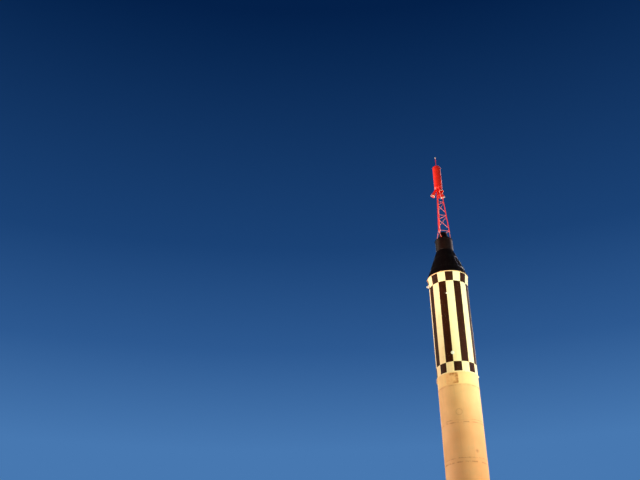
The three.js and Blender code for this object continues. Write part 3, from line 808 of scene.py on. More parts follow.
def cream_paint(name, checked=False):
    """Aged paint with faint rain streaks; the body's has checks and stripes and is darker towards the bottom:
    its ramp from tan towards cream between 11.2 and 12.6 metres is painted shade for light that falls off
    downwards, and its steps to cream at the band and to white at the seam are two-tone paint.
    """
    finish = Finish(name, "cream_paint", specular=0.07)
    patchy = finish.grain(4.5, detail=6, roughness=0.6, shift=7.0)
    streaks = finish.grain(11, stretch=(1, 1, 0.06), detail=5, roughness=0.6, shift=3.0)
    warm = finish.span(finish.grain(0.7, detail=3), 0.35, 0.65)
    colour = finish.tint(warm, *TAN_SHADES)
    if checked:
        wander = finish.line(finish.grain(6, detail=4, shift=1.0), 0.03, finish.z)
        cream = finish.tint(warm, *CREAM_SHADES)
        white = finish.tint(warm, *WHITE_SHADES)
        # Painted shade: the tan ramps partly towards cream between 11.2 and 12.6 metres, darker towards the
        # bottom as the light falls off; the steps at the band and the seam below are two-tone paint.
        colour = finish.tint(finish.span(wander, 11.2, 12.6, 0.0, 0.35), colour, cream)
        colour = finish.tint(finish.step(finish.z, BAND_TOP, PAINT_EDGE), colour, cream)
        colour = finish.tint(finish.step(wander, WHITE_BOTTOM + 0.02, 0.015), colour, white)
    colour = finish.tint(finish.span(patchy, 0.5, 0.8, 0.0, 0.35), colour, PATCH_COLOUR)
    runs = finish.times(finish.span(streaks, 0.52, 0.78), 0.28)
    colour = finish.tint(runs, colour, STREAK_COLOUR)
    if checked:
        worn = finish.times(body_dirt(finish, patchy, finish.grain(70, detail=4)), 0.85)
        colour = finish.tint(worn, colour, RUST_COLOUR)
        kept = finish.span(finish.grain(26, detail=6, shift=11.0), 0.76, 0.68)
        shade = finish.tint(finish.span(patchy, 0.3, 0.7), *CHECK_SHADES)
        colour = finish.tint(finish.times(body_mask(finish), kept), colour, shade)
    gloss = finish.line(runs, 0.3, finish.line(patchy, 0.25, 0.36))
    return finish.done(colour, gloss, [
        (finish.grain(1.6, detail=2, shift=5.0), 0.005), (finish.grain(240, detail=2), 0.0002)])


def plain_paint(name, slot, shades, wear, rough, coat=0.2, metallic=0.0, specular=0.5):
    """Gloss paint or bare metal of two close shades, with rain streaks of a third."""
    finish = Finish(name, slot, metallic, specular, coat)
    patchy = finish.grain(13, detail=6, roughness=0.62, shift=4.0)
    streaks = finish.grain(24, stretch=(1, 1, 0.08), detail=4, shift=9.0)
    colour = finish.tint(finish.span(finish.grain(2.2, detail=4), 0.32, 0.68), *shades)
    amount = finish.times(finish.span(streaks, 0.5, 0.8), 0.5)
    amount = finish.line(finish.span(patchy, 0.6, 0.8), 0.35, amount, clamp=True)
    gloss = finish.span(patchy, 0.25, 0.75, rough - 0.08, rough + 0.14)
    return finish.done(finish.tint(amount, colour, wear), gloss, [
        (finish.grain(5, detail=2), 0.002), (finish.grain(260, detail=2), 0.0002)])


def tan_cover_paint():
    """Discoloured tan paint with dark stains along its top and one side."""
    finish = Finish("tan_cover", "tan_paint", specular=0.25)
    patchy = finish.grain(9, detail=6, roughness=0.65)
    streaks = finish.grain(14, stretch=(1, 1, 0.1), detail=5, shift=2.0)
    colour = finish.tint(finish.span(patchy, 0.3, 0.7), (0.80, 0.42, 0.17), (0.88, 0.54, 0.25))
    colour = finish.tint(finish.span(streaks, 0.5, 0.8, 0.0, 0.4), colour, (0.62, 0.30, 0.11))
    stains = finish.near_any(COVER_STAINS)
    amount = finish.times(stains, finish.span(patchy, 0.3, 0.6, 0.4, 1.2), clamp=True)
    colour = finish.tint(finish.times(amount, 0.95), colour, (0.34, 0.10, 0.012))
    gloss = finish.span(patchy, 0.3, 0.7, 0.45, 0.7)
    return finish.done(colour, gloss, [(finish.grain(6, detail=2), 0.003)])


def bell_metal():
    """Heat-stained metal: straw and blue bands that change with height, and rust."""
    finish = Finish("bell_metal", "engine_iron", metallic=0.85)
    patchy = finish.grain(9, detail=6, roughness=0.6)
    height = finish.line(patchy, 0.25, finish.z)
    colour = finish.tint(finish.span(height, 0.5, 1.1), (0.16, 0.13, 0.12), (0.42, 0.33, 0.24))
    blue = finish.span(finish.apart(height, 0.95), 0.14, 0.0, 0.0, 0.6)
    colour = finish.tint(blue, colour, (0.18, 0.20, 0.30))
    rust = finish.span(finish.grain(22, detail=5, shift=6.0), 0.56, 0.75, 0.0, 0.7)
    colour = finish.tint(rust, colour, (0.20, 0.09, 0.04))
    gloss = finish.span(patchy, 0.3, 0.7, 0.35, 0.6)
    return finish.done(colour, gloss, [(finish.grain(60, detail=4), 0.001)])


def dull_finish(name, slot, shades, rough, scale):
    """A dull surface such as graphite, dirt, primer or cabin paint."""
    finish = Finish(name, slot, specular=0.3)
    patchy = finish.grain(scale, detail=6, roughness=0.6)
    colour = finish.tint(finish.span(patchy, 0.3, 0.7), *shades)
    gloss = finish.span(patchy, 0.2, 0.8, rough - 0.1, rough + 0.1)
    return finish.done(colour, gloss, [(finish.grain(scale * 12, detail=3), 0.0005)])


BODY_PAINT = cream_paint("body_paint", checked=True)
CREAM = cream_paint("cream_paint")
BLACK = plain_paint(
    "capsule_black", "dark_paint", ((0.0012, 0.0004, 0.0004), (0.0026, 0.0009, 0.0008)),
    (0.007, 0.0030, 0.0025), 0.42, coat=0.0, specular=0.10)
BROWN = plain_paint(
    "recovery_brown", "dark_paint", ((0.004, 0.0007, 0.0002), (0.009, 0.0018, 0.0005)),
    (0.022, 0.007, 0.002), 0.36, coat=0.0, specular=0.26)
DARK = plain_paint(
    "fin_black", "dark_paint", ((0.014, 0.009, 0.007), (0.026, 0.017, 0.013)),
    (0.06, 0.042, 0.03), 0.40, coat=0.05, specular=0.35)
RED = plain_paint(
    "tower_red", "red_paint", ((0.80, 0.014, 0.010), (0.88, 0.030, 0.014)),
    (0.66, 0.020, 0.014), 0.34, coat=0.1)
# Paler, pinker red for the braces: a painted highlight, with more gloss than the legs' red.
HIGHLIT_BRACE_RED = plain_paint(
    "tower_faded_red", "red_paint", ((0.82, 0.15, 0.14), (0.90, 0.24, 0.22)),
    (0.70, 0.10, 0.09), 0.26, coat=0.3)
WHITE = plain_paint(
    "fitting_white", "cream_paint", ((0.84, 0.80, 0.70), (0.92, 0.89, 0.82)),
    (0.66, 0.56, 0.44), 0.38)
STEEL = plain_paint(
    "bare_steel", "bare_steel", ((0.36, 0.34, 0.32), (0.55, 0.53, 0.50)),
    (0.22, 0.13, 0.08), 0.42, coat=0.0, metallic=0.9)
BRIGHT = plain_paint(
    "bright_metal", "bare_steel", ((0.80, 0.79, 0.77), (0.92, 0.91, 0.90)),
    (0.60, 0.57, 0.52), 0.25, coat=0.0, metallic=1.0)
TAN = tan_cover_paint()
BELL = bell_metal()
IRON = dull_finish("cast_iron", "engine_iron", ((0.05, 0.045, 0.04), (0.13, 0.11, 0.10)), 0.6, 8)
GRAPHITE = dull_finish("vane_graphite", "graphite", ((0.020, 0.020, 0.022), (0.045, 0.045, 0.048)), 0.62, 20)
SEAM = dull_finish("seam_dirt", "dark_paint", ((0.07, 0.035, 0.018), (0.14, 0.08, 0.045)), 0.75, 30)
PRIMER = dull_finish("bay_primer", "cream_paint", ((0.17, 0.19, 0.12), (0.26, 0.28, 0.19)), 0.55, 5)
CABIN = dull_finish("cabin_paint", "dark_paint", ((0.22, 0.25, 0.24), (0.34, 0.37, 0.36)), 0.5, 6)


# Body skins

# Lines round the body: height, width and how far they stand out, less than 0 for a groove
HOOP_LINES = (
    (4.53, 0.026, 0.0025),
    (4.65, 0.012, 0.0010),
    (6.19, 0.026, 0.0025),
    (6.32, 0.012, 0.0010),
    (9.52, 0.026, 0.0028),
    (9.69, 0.012, 0.0012),
    (11.17, 0.024, 0.0025),
    (11.29, 0.012, 0.0012),
    (WHITE_BOTTOM, 0.008, -0.0025),
    (15.86, 0.006, -0.0015),
)


def line_rows(radius, height, proud, foot_half, crest_half):
    """Four rows of a bead, or of a groove where proud is less than 0."""
    return [(radius, height - foot_half), (radius + proud, height - crest_half),
            (radius + proud, height + crest_half), (radius, height + foot_half)]


def drum_rows(bottom, top, radius):
    """Rows of a closed drum with cut edges and the beads and grooves that lie between its ends."""
    rows = [(0, bottom), (radius - EDGE_CUT, bottom), (radius, bottom + EDGE_CUT)]
    for height, width, proud in HOOP_LINES:
        if bottom < height < top:
            rows += line_rows(radius, height, proud, width / 2, width / 6)
    return rows + [(radius, top - EDGE_CUT), (radius - EDGE_CUT, top), (0, top)]


def body_skins():
    """The tanks, the instrument section and the adapter over it."""
    for node, bottom, top in (
            ("oxygen_tank", TAIL_TOP, TANK_JOINT),
            ("fuel_tank", TANK_JOINT, BAND_BOTTOM),
            ("instrument_section", BAND_TOP, ADAPTER_BOTTOM)):
        build(node + "_skin", BODY_PAINT, [lathe(drum_rows(bottom, top - FIT_GAP, BODY_RADIUS))], node)
    lip, cut_back = ADAPTER_TOP - ADAPTER_LIP, 0.003
    rows = [
        (0, ADAPTER_BOTTOM),
        (BODY_RADIUS - EDGE_CUT, ADAPTER_BOTTOM),
        (BODY_RADIUS + 0.001, ADAPTER_BOTTOM + EDGE_CUT),
        (ADAPTER_RADIUS - cut_back, lip),
        (ADAPTER_RADIUS, lip + cut_back),
        (ADAPTER_RADIUS, ADAPTER_TOP - cut_back),
        (ADAPTER_RADIUS - cut_back, ADAPTER_TOP - FIT_GAP),
        (0, ADAPTER_TOP - FIT_GAP),
    ]
    build("adapter_skin", BODY_PAINT, [lathe(rows)], "spacecraft_adapter")


# Fittings on the body above the separation band: azimuth, height, half their own height
SIDE_FITTINGS = (
    (-97, 13.365, 0.135),
    (84, 13.42, 0.045),
    (140, 13.10, 0.075),
    (218, 13.10, 0.075),
)
CLAMP_JOINTS = (30, 150, 270)
CLAMP_CUT = 0.002
CLAMP_BOLT = 0.006


def channel_rows(radius, bottom, top, depth, lips):
    """Rows up the outer side of a clamp ring, with a channel between two lips.

    The lips are the heights where the channel starts and is deep, from the bottom, and then from the top.
    """
    first, deep, shallow, last = lips
    return [(radius - CLAMP_CUT, bottom), (radius, bottom + CLAMP_CUT), (radius, bottom + first),
            (radius - depth, bottom + deep), (radius - depth, top - shallow),
            (radius, top - last), (radius, top - CLAMP_CUT), (radius - CLAMP_CUT, top)]


def clamp_joint(base, side, half, tall, proud, reach, lift):
    """Two lugs on a clamp ring and the bolt through both."""
    lugs = [block(base, (x - half, x + half), (-tall, tall), (-0.01, proud)) for x in (-side, side)]
    return lugs + [bar(base @ Vector((-reach, 0, lift)), base @ Vector((reach, 0, lift)), CLAMP_BOLT)]


def bands():
    """The separation band, the fittings above it, and the clamp ring under the capsule with its joints."""
    rows = drum_rows(BAND_BOTTOM, BAND_TOP - FIT_GAP, BAND_RADIUS)
    rows[3:3] = line_rows(BAND_RADIUS, (BAND_BOTTOM + BAND_TOP) / 2, -0.006, 0.010, 0.007)
    finished("separation_band", BODY_PAINT, [lathe(rows)])

    forms = []
    for azimuth, height, half in SIDE_FITTINGS:
        base = facing_out(azimuth, BODY_RADIUS, height)
        forms += [block(base, (-0.035, 0.035), (-half, half), (-0.01, 0.012)),
                  block(base, (-0.018, 0.018), (-half * 0.85, -half * 0.1), (0.0, 0.042)),
                  bar(base @ Vector((0, -half * 0.95, 0.03)), base @ Vector((0, half * 0.7, 0.03)), 0.010)]
    build("side_fittings", WHITE, forms, bevel=0.002)

    top = CLAMP_TOP - FIT_GAP
    rows = channel_rows(CLAMP_RADIUS, ADAPTER_TOP, top, 0.005, (0.008, 0.010, 0.010, 0.008))
    forms = [lathe([(0, ADAPTER_TOP), *rows, (0, top)])]
    for azimuth in CLAMP_JOINTS:
        base = facing_out(azimuth, CLAMP_RADIUS, (ADAPTER_TOP + top) / 2)
        forms += clamp_joint(base, 0.045, 0.014, 0.012, 0.022, 0.075, 0.01)
    build("clamp_ring_finished", CREAM, forms, "adapter_clamp_ring", bevel=0.0015)


# Screwed doors and plates on the body: azimuth, height, width, height of the plate
BODY_DOORS = (
    (152, 14.70, 0.46, 0.62),
    (208, 14.70, 0.46, 0.62),
    (180, 16.30, 0.40, 0.50),
    (-118, 13.13, 0.34, 0.26),
    (118, 16.60, 0.30, 0.36),
    (78, 2.25, 0.34, 0.46),
    (-78, 2.25, 0.34, 0.46),
    (45, 1.75, 0.38, 0.50),
    (135, 1.75, 0.38, 0.50),
    (225, 1.75, 0.38, 0.50),
    (315, 1.75, 0.38, 0.50),
    (12, 3.55, 0.26, 0.20),
    (196, 7.35, 0.30, 0.24),
)
DOOR_CORNER = 0.03
DOOR_PROUD = 0.004
DOOR_SEAM = 0.007
COVER_AZIMUTHS = (-38, -3)
COVER_CORNER = 0.035
COVER_PROUD = 0.005

# Hoops of screws: height, radius, how many, tilt
SCREW_HOOPS = (
    (SHELL_BOTTOM + 0.045, BODY_RADIUS, 96, 0),
    (TAIL_TOP - 0.03, BODY_RADIUS, 96, 0),
    (TAIL_TOP + 0.035, BODY_RADIUS, 96, 0),
    (TANK_JOINT - 0.035, BODY_RADIUS, 96, 0),
    (TANK_JOINT + 0.035, BODY_RADIUS, 96, 0),
    (BAND_BOTTOM - 0.035, BODY_RADIUS, 120, 0),
    (BAND_TOP + 0.035, BODY_RADIUS, 120, 0),
    (WHITE_BOTTOM - 0.022, BODY_RADIUS, 60, 0),
    (ADAPTER_BOTTOM - 0.03, BODY_RADIUS, 96, 0),
    (ADAPTER_BOTTOM + 0.035, BODY_RADIUS + 0.0045, 96, -6.8),
    (ADAPTER_TOP - 0.035, ADAPTER_RADIUS - 0.0055, 96, -6.8),
)


def doors_and_screws():
    """Plates over the body's openings, their seams, and the screws along their edges and the joints."""
    forms, seams, spots = [], [], []
    for azimuth, height, width, tall in BODY_DOORS:
        surface = on_body(azimuth, height)
        forms.append(plate(surface, (width, tall), DOOR_CORNER, DOOR_PROUD))
        seams.append(rim(surface, (width + 0.002, tall + 0.002), DOOR_CORNER, DOOR_SEAM, 0.001))
        spots += plate_spots(surface, (width, tall), DOOR_CORNER, 0.018, 0.055, DOOR_PROUD)
    build("body_doors", BODY_PAINT, forms)
    build("door_seams", SEAM, seams)
    for height, radius, count, tilt in SCREW_HOOPS:
        spots += hoop_spots(height, radius, count, tilt, start=1.5)
    add_screws("body_screws", spots, "body", BODY_PAINT)


def access_cover():
    """The tan cover that follows the body, with its screws."""
    low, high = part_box("access_cover")
    first, last = COVER_AZIMUTHS
    size = (math.radians(last - first) * BODY_RADIUS, high.z - low.z)
    surface = on_body((first + last) / 2, (low.z + high.z) / 2)
    finished("access_cover", TAN, [plate(surface, size, COVER_CORNER, COVER_PROUD)])
    spots = plate_spots(surface, size, COVER_CORNER, 0.02, 0.05, COVER_PROUD)
    add_screws("access_cover_screws", spots, "cover", TAN)


# Vent bosses: node, radius of the flange, radius of the dome and the most it may stand out
VENT_BOSSES = (
    ("vent_boss_1", 0.08, 0.056, 0.045),
    ("vent_boss_2", 0.045, 0.031, 0.035),
)


def vent_bosses():
    """Round caps with a bolted flange and a low dome."""
    spots = []
    for node, flange, crown, tallest in VENT_BOSSES:
        low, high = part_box(node)
        centre = (low + high) / 2
        azimuth = math.degrees(math.atan2(centre.x, -centre.y))
        proud = math.hypot(high.x if centre.x > 0 else low.x, low.y) - BODY_RADIUS
        base = facing_out(azimuth, BODY_RADIUS, centre.z)
        rows = [(0, -0.012), (flange, -0.012), (flange, 0.010), (flange - 0.003, 0.013), (crown, 0.013)]
        rise = min(proud, tallest) - 0.017
        for step in range(6):
            angle = math.radians(15 * step)
            rows.append((crown * math.cos(angle), 0.016 + rise * math.sin(angle)))
        rows.append((0, 0.016 + rise))
        finished(node, WHITE, [posed(lathe(rows, SMALL_SIDES), base)])
        reach = (flange + crown) / 2
        for k in range(8):
            angle = math.radians(45 * k + 22.5)
            point = base @ Vector((reach * math.cos(angle), reach * math.sin(angle), 0.013))
            spots.append((point, radial(azimuth)))
    add_screws("boss_screws", spots, "boss", STEEL)


# Cable ducts: how far they go each way and out, and their share of that along the sloped ends
DUCT_HALF = 0.055
DUCT_DEPTH = 0.07
DUCT_ENDS = ((0.0, 0.03), (0.012, 0.22), (DUCT_DEPTH, 0.72), (2 * DUCT_DEPTH, 1.0))
STRAP_PITCH = 0.8
STRAP_HALF = 0.02


def duct_section(azimuth, base, half, depth, height, grown=0.0):
    """Half of a rounded box that stands on the body, as an outline at one height."""
    outline = []
    for step in range(17):
        angle = math.pi * step / 16
        across = math.copysign(abs(math.cos(angle)) ** 0.35, math.cos(angle)) * (half + grown)
        out = abs(math.sin(angle)) ** 0.35 * (depth + grown)
        outline.append(spot(azimuth, base + out, height) + around(azimuth) * across)
    return outline


def cable_ducts():
    """Rounded ducts with sloped ends, held down by straps."""
    spots = []
    for node, azimuth in (("cable_duct_1", 150), ("cable_duct_2", 210)):
        bottom, top = foot(node), head(node)
        rows = [(bottom + end, share) for end, share in DUCT_ENDS]
        rows += [(top - end, share) for end, share in reversed(DUCT_ENDS)]
        forms = [loft([duct_section(azimuth, FLAT_RADIUS, DUCT_HALF, DUCT_DEPTH * share, height)
                       for height, share in rows])]
        strap = bottom + 0.35
        while strap < top - 0.3:
            forms.append(loft([
                duct_section(azimuth, FLAT_RADIUS, DUCT_HALF, DUCT_DEPTH, strap + end, 0.003)
                for end in (-STRAP_HALF, STRAP_HALF)]))
            for side in (-1, 1):
                middle = azimuth + side * math.degrees(0.075 / BODY_RADIUS)
                forms.append(plate(on_body(middle, strap), (0.05, 2 * STRAP_HALF), 0.008, 0.004))
                spots.append((spot(middle, BODY_RADIUS + 0.004, strap), radial(middle)))
            strap += STRAP_PITCH
        finished(node, CREAM, forms)
    add_screws("duct_screws", spots, "duct", CREAM)


def stay_lugs():
    """Plates with an eye, on a welded pad, under the adapter."""
    height = foot("stay_lug_1") + 0.075
    radius = BODY_RADIUS + (height - ADAPTER_BOTTOM) * ADAPTER_SLOPE
    pads = []
    for k, azimuth in enumerate((120, 195, 270)):
        softened(f"stay_lug_{k + 1}", WHITE, 0.004)
        pads.append(plate(on_body(azimuth, height, radius, ADAPTER_SLOPE), (0.12, 0.17), 0.02, 0.006))
    build("stay_pads", WHITE, pads)


# Tail: shell, base ring, fins and engine

STRINGERS = 32
TAIL_HOOPS = (0.42, 0.62)
HOOP_PARTS = 96


def shaft_bores():
    """Two bars through the tail, where the steering shafts pass."""
    return [bar(spot(azimuth, -FIN_TIP, SHAFT_HEIGHT), spot(azimuth, FIN_TIP, SHAFT_HEIGHT), SHAFT_BORE, 24)
            for azimuth in QUADRANTS[:2]]


def tail_shell():
    """The open tail tube with holes for the shafts, and stringers and hoops inside it."""
    inner = BODY_RADIUS - TAIL_WALL
    top = TAIL_TOP - FIT_GAP
    rows = [
        (BODY_RADIUS - EDGE_CUT, SHELL_BOTTOM),
        (BODY_RADIUS, SHELL_BOTTOM + EDGE_CUT),
        (BODY_RADIUS, top - EDGE_CUT),
        (BODY_RADIUS - EDGE_CUT, top),
        (inner, top),
        (inner, SHELL_BOTTOM),
    ]
    mesh = new_mesh("tail_shell_skin", [(BODY_PAINT, [lathe(rows, closed=True)])])
    piece = new_object("tail_shell_skin", mesh)
    for bore in shaft_bores():
        cut(piece, "DIFFERENCE", bore)
    piece.data.materials.append(PRIMER)
    for face in piece.data.polygons:
        if math.hypot(face.center.x, face.center.y) < BODY_RADIUS - TAIL_WALL * 0.8:
            face.material_index = 1
    settle(piece, node="tail_shell")

    low, high = 0.16, FIREWALL_BOTTOM - 0.01
    stringers, hoops = [], []
    for k in range(STRINGERS):
        azimuth = 360 * (k + 0.5) / STRINGERS
        near = min(abs((azimuth - quadrant + 180) % 360 - 180) for quadrant in QUADRANTS)
        if near > 6:
            point = spot(azimuth, inner + 0.001, (low + high) / 2)
            stringers.append((point, -radial(azimuth), UP, high - low))
    for height in TAIL_HOOPS:
        for k in range(HOOP_PARTS):
            azimuth = 360 * k / HOOP_PARTS
            hoops.append((spot(azimuth, inner + 0.001, height), -radial(azimuth), around(azimuth), 0.058))
    settle(joined("tail_stringers", [
        strips(RIBS, stringers, 0.012, 0.028, PRIMER), strips(RIBS, hoops, 0.010, 0.018, PRIMER)]))


PAD_AZIMUTHS = (45, 135, 225, 315)
RING_CUT = 0.003
BOLT_HEIGHT = 0.075
BOLT_STEP = 5.6
CARRIER_OUTLINE = ((0.798, 0.06), (0.858, 0.06), (0.858, 0.34), (0.43, 0.34), (0.43, 0.17), (0.718, 0.15))
CARRIER_STARTS = (-0.075, 0.047)
CARRIER_PLATE = 0.028
CARRIER_FACE = 0.075036
# Sleeves round each steering shaft: start, end and outer radius
CARRIER_SLEEVES = (
    (0.43, 0.47, 0.07),
    (0.47, 0.82, 0.042),
    (0.82, 0.858, 0.07),
)


def base_ring():
    """The base ring, its hold-down pads and the carriers of the steering shafts."""
    top = SHELL_BOTTOM - FIT_GAP
    rows = [
        (BODY_RADIUS - RING_CUT, RING_BOTTOM),
        (BODY_RADIUS, RING_BOTTOM + RING_CUT),
        (BODY_RADIUS, top - RING_CUT),
        (BODY_RADIUS - RING_CUT, top),
        (RING_INNER_RADIUS + RING_CUT, top),
        (RING_INNER_RADIUS, top - RING_CUT),
        (RING_INNER_RADIUS, RING_BOTTOM + RING_CUT),
        (RING_INNER_RADIUS + RING_CUT, RING_BOTTOM),
    ]
    forms, spots = [lathe(rows, closed=True)], []
    for azimuth in PAD_AZIMUTHS:
        base = standing(azimuth)
        forms.append(block(base, (0.79, 0.88), (-0.1, 0.1), (0, 0.07)))
        for side in (-0.07, 0.07):
            end = base @ Vector((0.83, side, 0.14))
            forms += [bar(base @ Vector((0.83, side, 0.06)), end, 0.012),
                      bar(base @ Vector((0.83, side, SHELL_BOTTOM)), end, 0.021, 6)]
        spots += [(spot(azimuth + side, BODY_RADIUS, BOLT_HEIGHT), radial(azimuth + side))
                  for side in (-BOLT_STEP, 0, BOLT_STEP)]
    for azimuth in QUADRANTS:
        side = around(azimuth)
        for offset in CARRIER_STARTS:
            start = [spot(azimuth, radius, height) + side * offset for radius, height in CARRIER_OUTLINE]
            forms.append(prism(start, side * CARRIER_PLATE))
        base = facing_out(azimuth, 0, SHAFT_HEIGHT)
        for low, high, outer in CARRIER_SLEEVES:
            sleeve = [(outer, low), (outer, high), (SHAFT_BORE, high), (SHAFT_BORE, low)]
            forms.append(posed(lathe(sleeve, TUBE_SIDES, closed=True), base))
        for facing in (-side, side):
            spots += [(spot(azimuth, radius, height) + facing * CARRIER_FACE, facing)
                      for height in (0.31, 0.2) for radius in (0.5, 0.62, 0.74)]
    finished("tail_base_ring", STEEL, forms, bevel=0.002)
    spots += hoop_spots(BOLT_HEIGHT, BODY_RADIUS, 64, start=2.8)
    add_screws("base_ring_bolts", spots, "ring", STEEL)


# Fin: half thicknesses at the foot and the upper edge, at the root and the tip
FIN_TIP_TOP = 1.35
FIN_THICK = {"root": (0.055, 0.008), "tip": (0.030, 0.006)}
FIN_SPANS = 12
FIN_RISES = 16
# Rows of rivets: shares of the span that they run up along, and of the height that they run out along
RIVET_SPANS = (0.03, 0.34, 0.66, 0.965)
RIVET_RISES = (0.975, 0.55)
RUDDER_ROOT = 1.578
RUDDER_TOP = 0.610
RUDDER_SIDE_GAP = 0.008
RUDDER_TOP_GAP = 0.010
# Root angle: across the fin and height of each corner
ANGLE_OUTLINE = (
    (0.050, RING_BOTTOM + 0.005),
    (0.085, RING_BOTTOM + 0.005),
    (0.042, FIN_TOP - 0.02),
    (0.006, FIN_TOP - 0.02),
)
ANGLE_HALF = 0.004


def between(pair, share):
    return pair[0] + (pair[1] - pair[0]) * share


def fin_face(out, up):
    """Radius, height and half thickness of a fin, from shares of its span and of its height there."""
    half = between((between(FIN_THICK["root"], up), between(FIN_THICK["tip"], up)), out)
    top = between((FIN_TOP, FIN_TIP_TOP), out)
    return between((FLAT_RADIUS, FIN_TIP), out), between((RING_BOTTOM, top), up), half


def fin_point(azimuth, out, up, side):
    radius, height, half = fin_face(out, up)
    return spot(azimuth, radius, height) + around(azimuth) * half * side


def fin_blank():
    """A fin at azimuth 90 with its notch for the rudder and the bore of its shaft."""
    sections = []
    for k in range(FIN_SPANS + 1):
        section = [fin_point(90, k / FIN_SPANS, row / FIN_RISES, 1) for row in range(FIN_RISES + 1)]
        section += [fin_point(90, k / FIN_SPANS, row / FIN_RISES, -1) for row in range(FIN_RISES, -1, -1)]
        sections.append(section)
    blank = new_object("fin_blank", new_mesh("fin_blank", [(CREAM, [loft(sections)])]))
    notch = block(standing(90), (RUDDER_ROOT - RUDDER_SIDE_GAP, FIN_TIP + 0.05), (-0.1, 0.1),
                  (RING_BOTTOM - 0.05, RUDDER_TOP + RUDDER_TOP_GAP))
    cut(blank, "DIFFERENCE", notch)
    cut(blank, "DIFFERENCE", shaft_bores()[1])
    return blank


def fin_rivets(azimuth):
    """Spots on both faces of a fin, clear of the rudder's notch on the rows that run up."""
    spots = []
    for side in (-1, 1):
        places = []
        for out in RIVET_SPANS:
            for step in range(1, 40):
                radius, height, _ = fin_face(out, step / 40)
                if radius < RUDDER_ROOT - 0.03 or height > RUDDER_TOP + 0.04:
                    places.append((out, step / 40))
        places += [(step / 24, rise) for step in range(1, 24) for rise in RIVET_RISES]
        spots += [(fin_point(azimuth, out, up, side), around(azimuth) * side) for out, up in places]
    return spots


def fin_finish(k):
    """The cream or the dark paint, for the fins and rudders of each quadrant in turn."""
    return DARK if k % 2 else CREAM


def fins():
    """Four fins with a notch for the rudder, root angles and rivets."""
    blank = fin_blank()
    for k, azimuth in enumerate(QUADRANTS):
        node = f"fin_{k + 1}"
        mesh = blank.data.copy()
        mesh.transform(Matrix.Rotation(math.radians(azimuth - 90), 4, "Z"))
        mesh.materials.clear()
        mesh.materials.append(fin_finish(k))
        piece = new_object(node + "_finished", mesh)
        add_bevel(piece, 0.004)
        settle(piece, node=node)
        angles = []
        for side in (-1, 1):
            start = axes(spot(azimuth, FLAT_RADIUS, 0), around(azimuth) * side, UP, radial(azimuth))
            outline = [Vector((across, height, -ANGLE_HALF)) for across, height in ANGLE_OUTLINE]
            angles.append(posed(prism(outline, UP * 2 * ANGLE_HALF), start))
        build(node + "_root_angles", fin_finish(k), angles)
        add_screws(node + "_rivets", fin_rivets(azimuth), "rivet", fin_finish(k))
    bpy.data.objects.remove(blank)


# Rudder: half thicknesses at the root and the tip, at the foot and the upper edge
RUDDER_FOOT_HALF = (0.036, 0.028)
RUDDER_TOP_HALF = (0.026, 0.016)
SHAFT_START = 0.38 + FIT_GAP
SHAFT_END = RUDDER_ROOT - FIT_GAP
SHAFT_ROWS = (
    (0, SHAFT_START),
    (0.036, SHAFT_START),
    (0.036, SHAFT_START + 0.012),
    (0.020, SHAFT_START + 0.014),
    (0.020, SHAFT_END - 0.002),
    (0.018, SHAFT_END),
    (0, SHAFT_END),
)


def steering():
    """Rudders, shafts and vanes, which turn together in each quadrant."""
    for k, azimuth in enumerate(QUADRANTS):
        number, body = k + 1, f"steering_{k + 1}"
        softened(f"air_rudder_{number}", fin_finish(k), 0.004, body)
        softened(f"jet_vane_{number}", GRAPHITE, 0.003, body)
        shaft = posed(lathe(SHAFT_ROWS, TUBE_SIDES), facing_out(azimuth, 0, SHAFT_HEIGHT))
        finished(f"rudder_shaft_{number}", STEEL, [shaft], body)
        spots = []
        for side in (-1, 1):
            for share in (0.06, 0.36, 0.66, 0.94):
                radius = between((RUDDER_ROOT, FIN_TIP), share)
                halves = (between(RUDDER_FOOT_HALF, share), between(RUDDER_TOP_HALF, share))
                for step in range(12):
                    rise = (step + 0.5) / 12
                    point = spot(azimuth, radius, between((RING_BOTTOM, RUDDER_TOP), rise))
                    facing = around(azimuth) * side
                    spots.append((point + facing * between(halves, rise), facing))
        add_screws(f"air_rudder_{number}_rivets", spots, "rudder", fin_finish(k), body)


# Engine bell: height and radius of the inner wall, from the mouth up
BELL_ROWS = (
    (0.42, 0.385),
    (0.60, 0.352),
    (0.80, 0.304),
    (1.00, 0.246),
    (1.18, 0.190),
    (1.40, 0.260),
    (1.78, 0.260),
    (1.86, 0.170),
)
BELL_WALL = 0.018
BELL_BANDS = (0.44, 0.56, 0.68, 0.79)
CHAMBER_TOP = 1.88
FIREWALL_EDGE = 0.304 + BELL_WALL + 0.0165
FIREWALL_RIM = corner_radius("firewall") - 0.002
# Pipes beside the bell: azimuth, distance from the axis, radius and lower end
BAY_PIPES = (
    (22, 0.66, 0.045, 0.52),
    (203, 0.68, 0.036, 0.60),
    (112, 0.70, 0.028, 0.60),
    (292, 0.68, 0.028, 0.60),
)


def bell_form():
    """The bell and chamber as one thin wall, with bands round the bell's lower part."""
    outer = []
    for (low, low_radius), (high, high_radius) in zip(BELL_ROWS, BELL_ROWS[1:]):
        outer.append((low_radius + BELL_WALL, low))
        for band in BELL_BANDS:
            if low < band < high:
                radius = between((low_radius, high_radius), (band - low) / (high - low)) + BELL_WALL
                outer += [(radius + 0.002, band - 0.014), (radius + 0.014, band - 0.010),
                          (radius + 0.012, band + 0.010), (radius - 0.002, band + 0.014)]
    outer.append((BELL_ROWS[-1][1] + BELL_WALL, BELL_ROWS[-1][0]))
    inner = [(radius, height) for height, radius in reversed(BELL_ROWS)]
    return lathe([(0, CHAMBER_TOP - BELL_WALL)] + inner + outer + [(0, CHAMBER_TOP)], NARROW_SIDES)


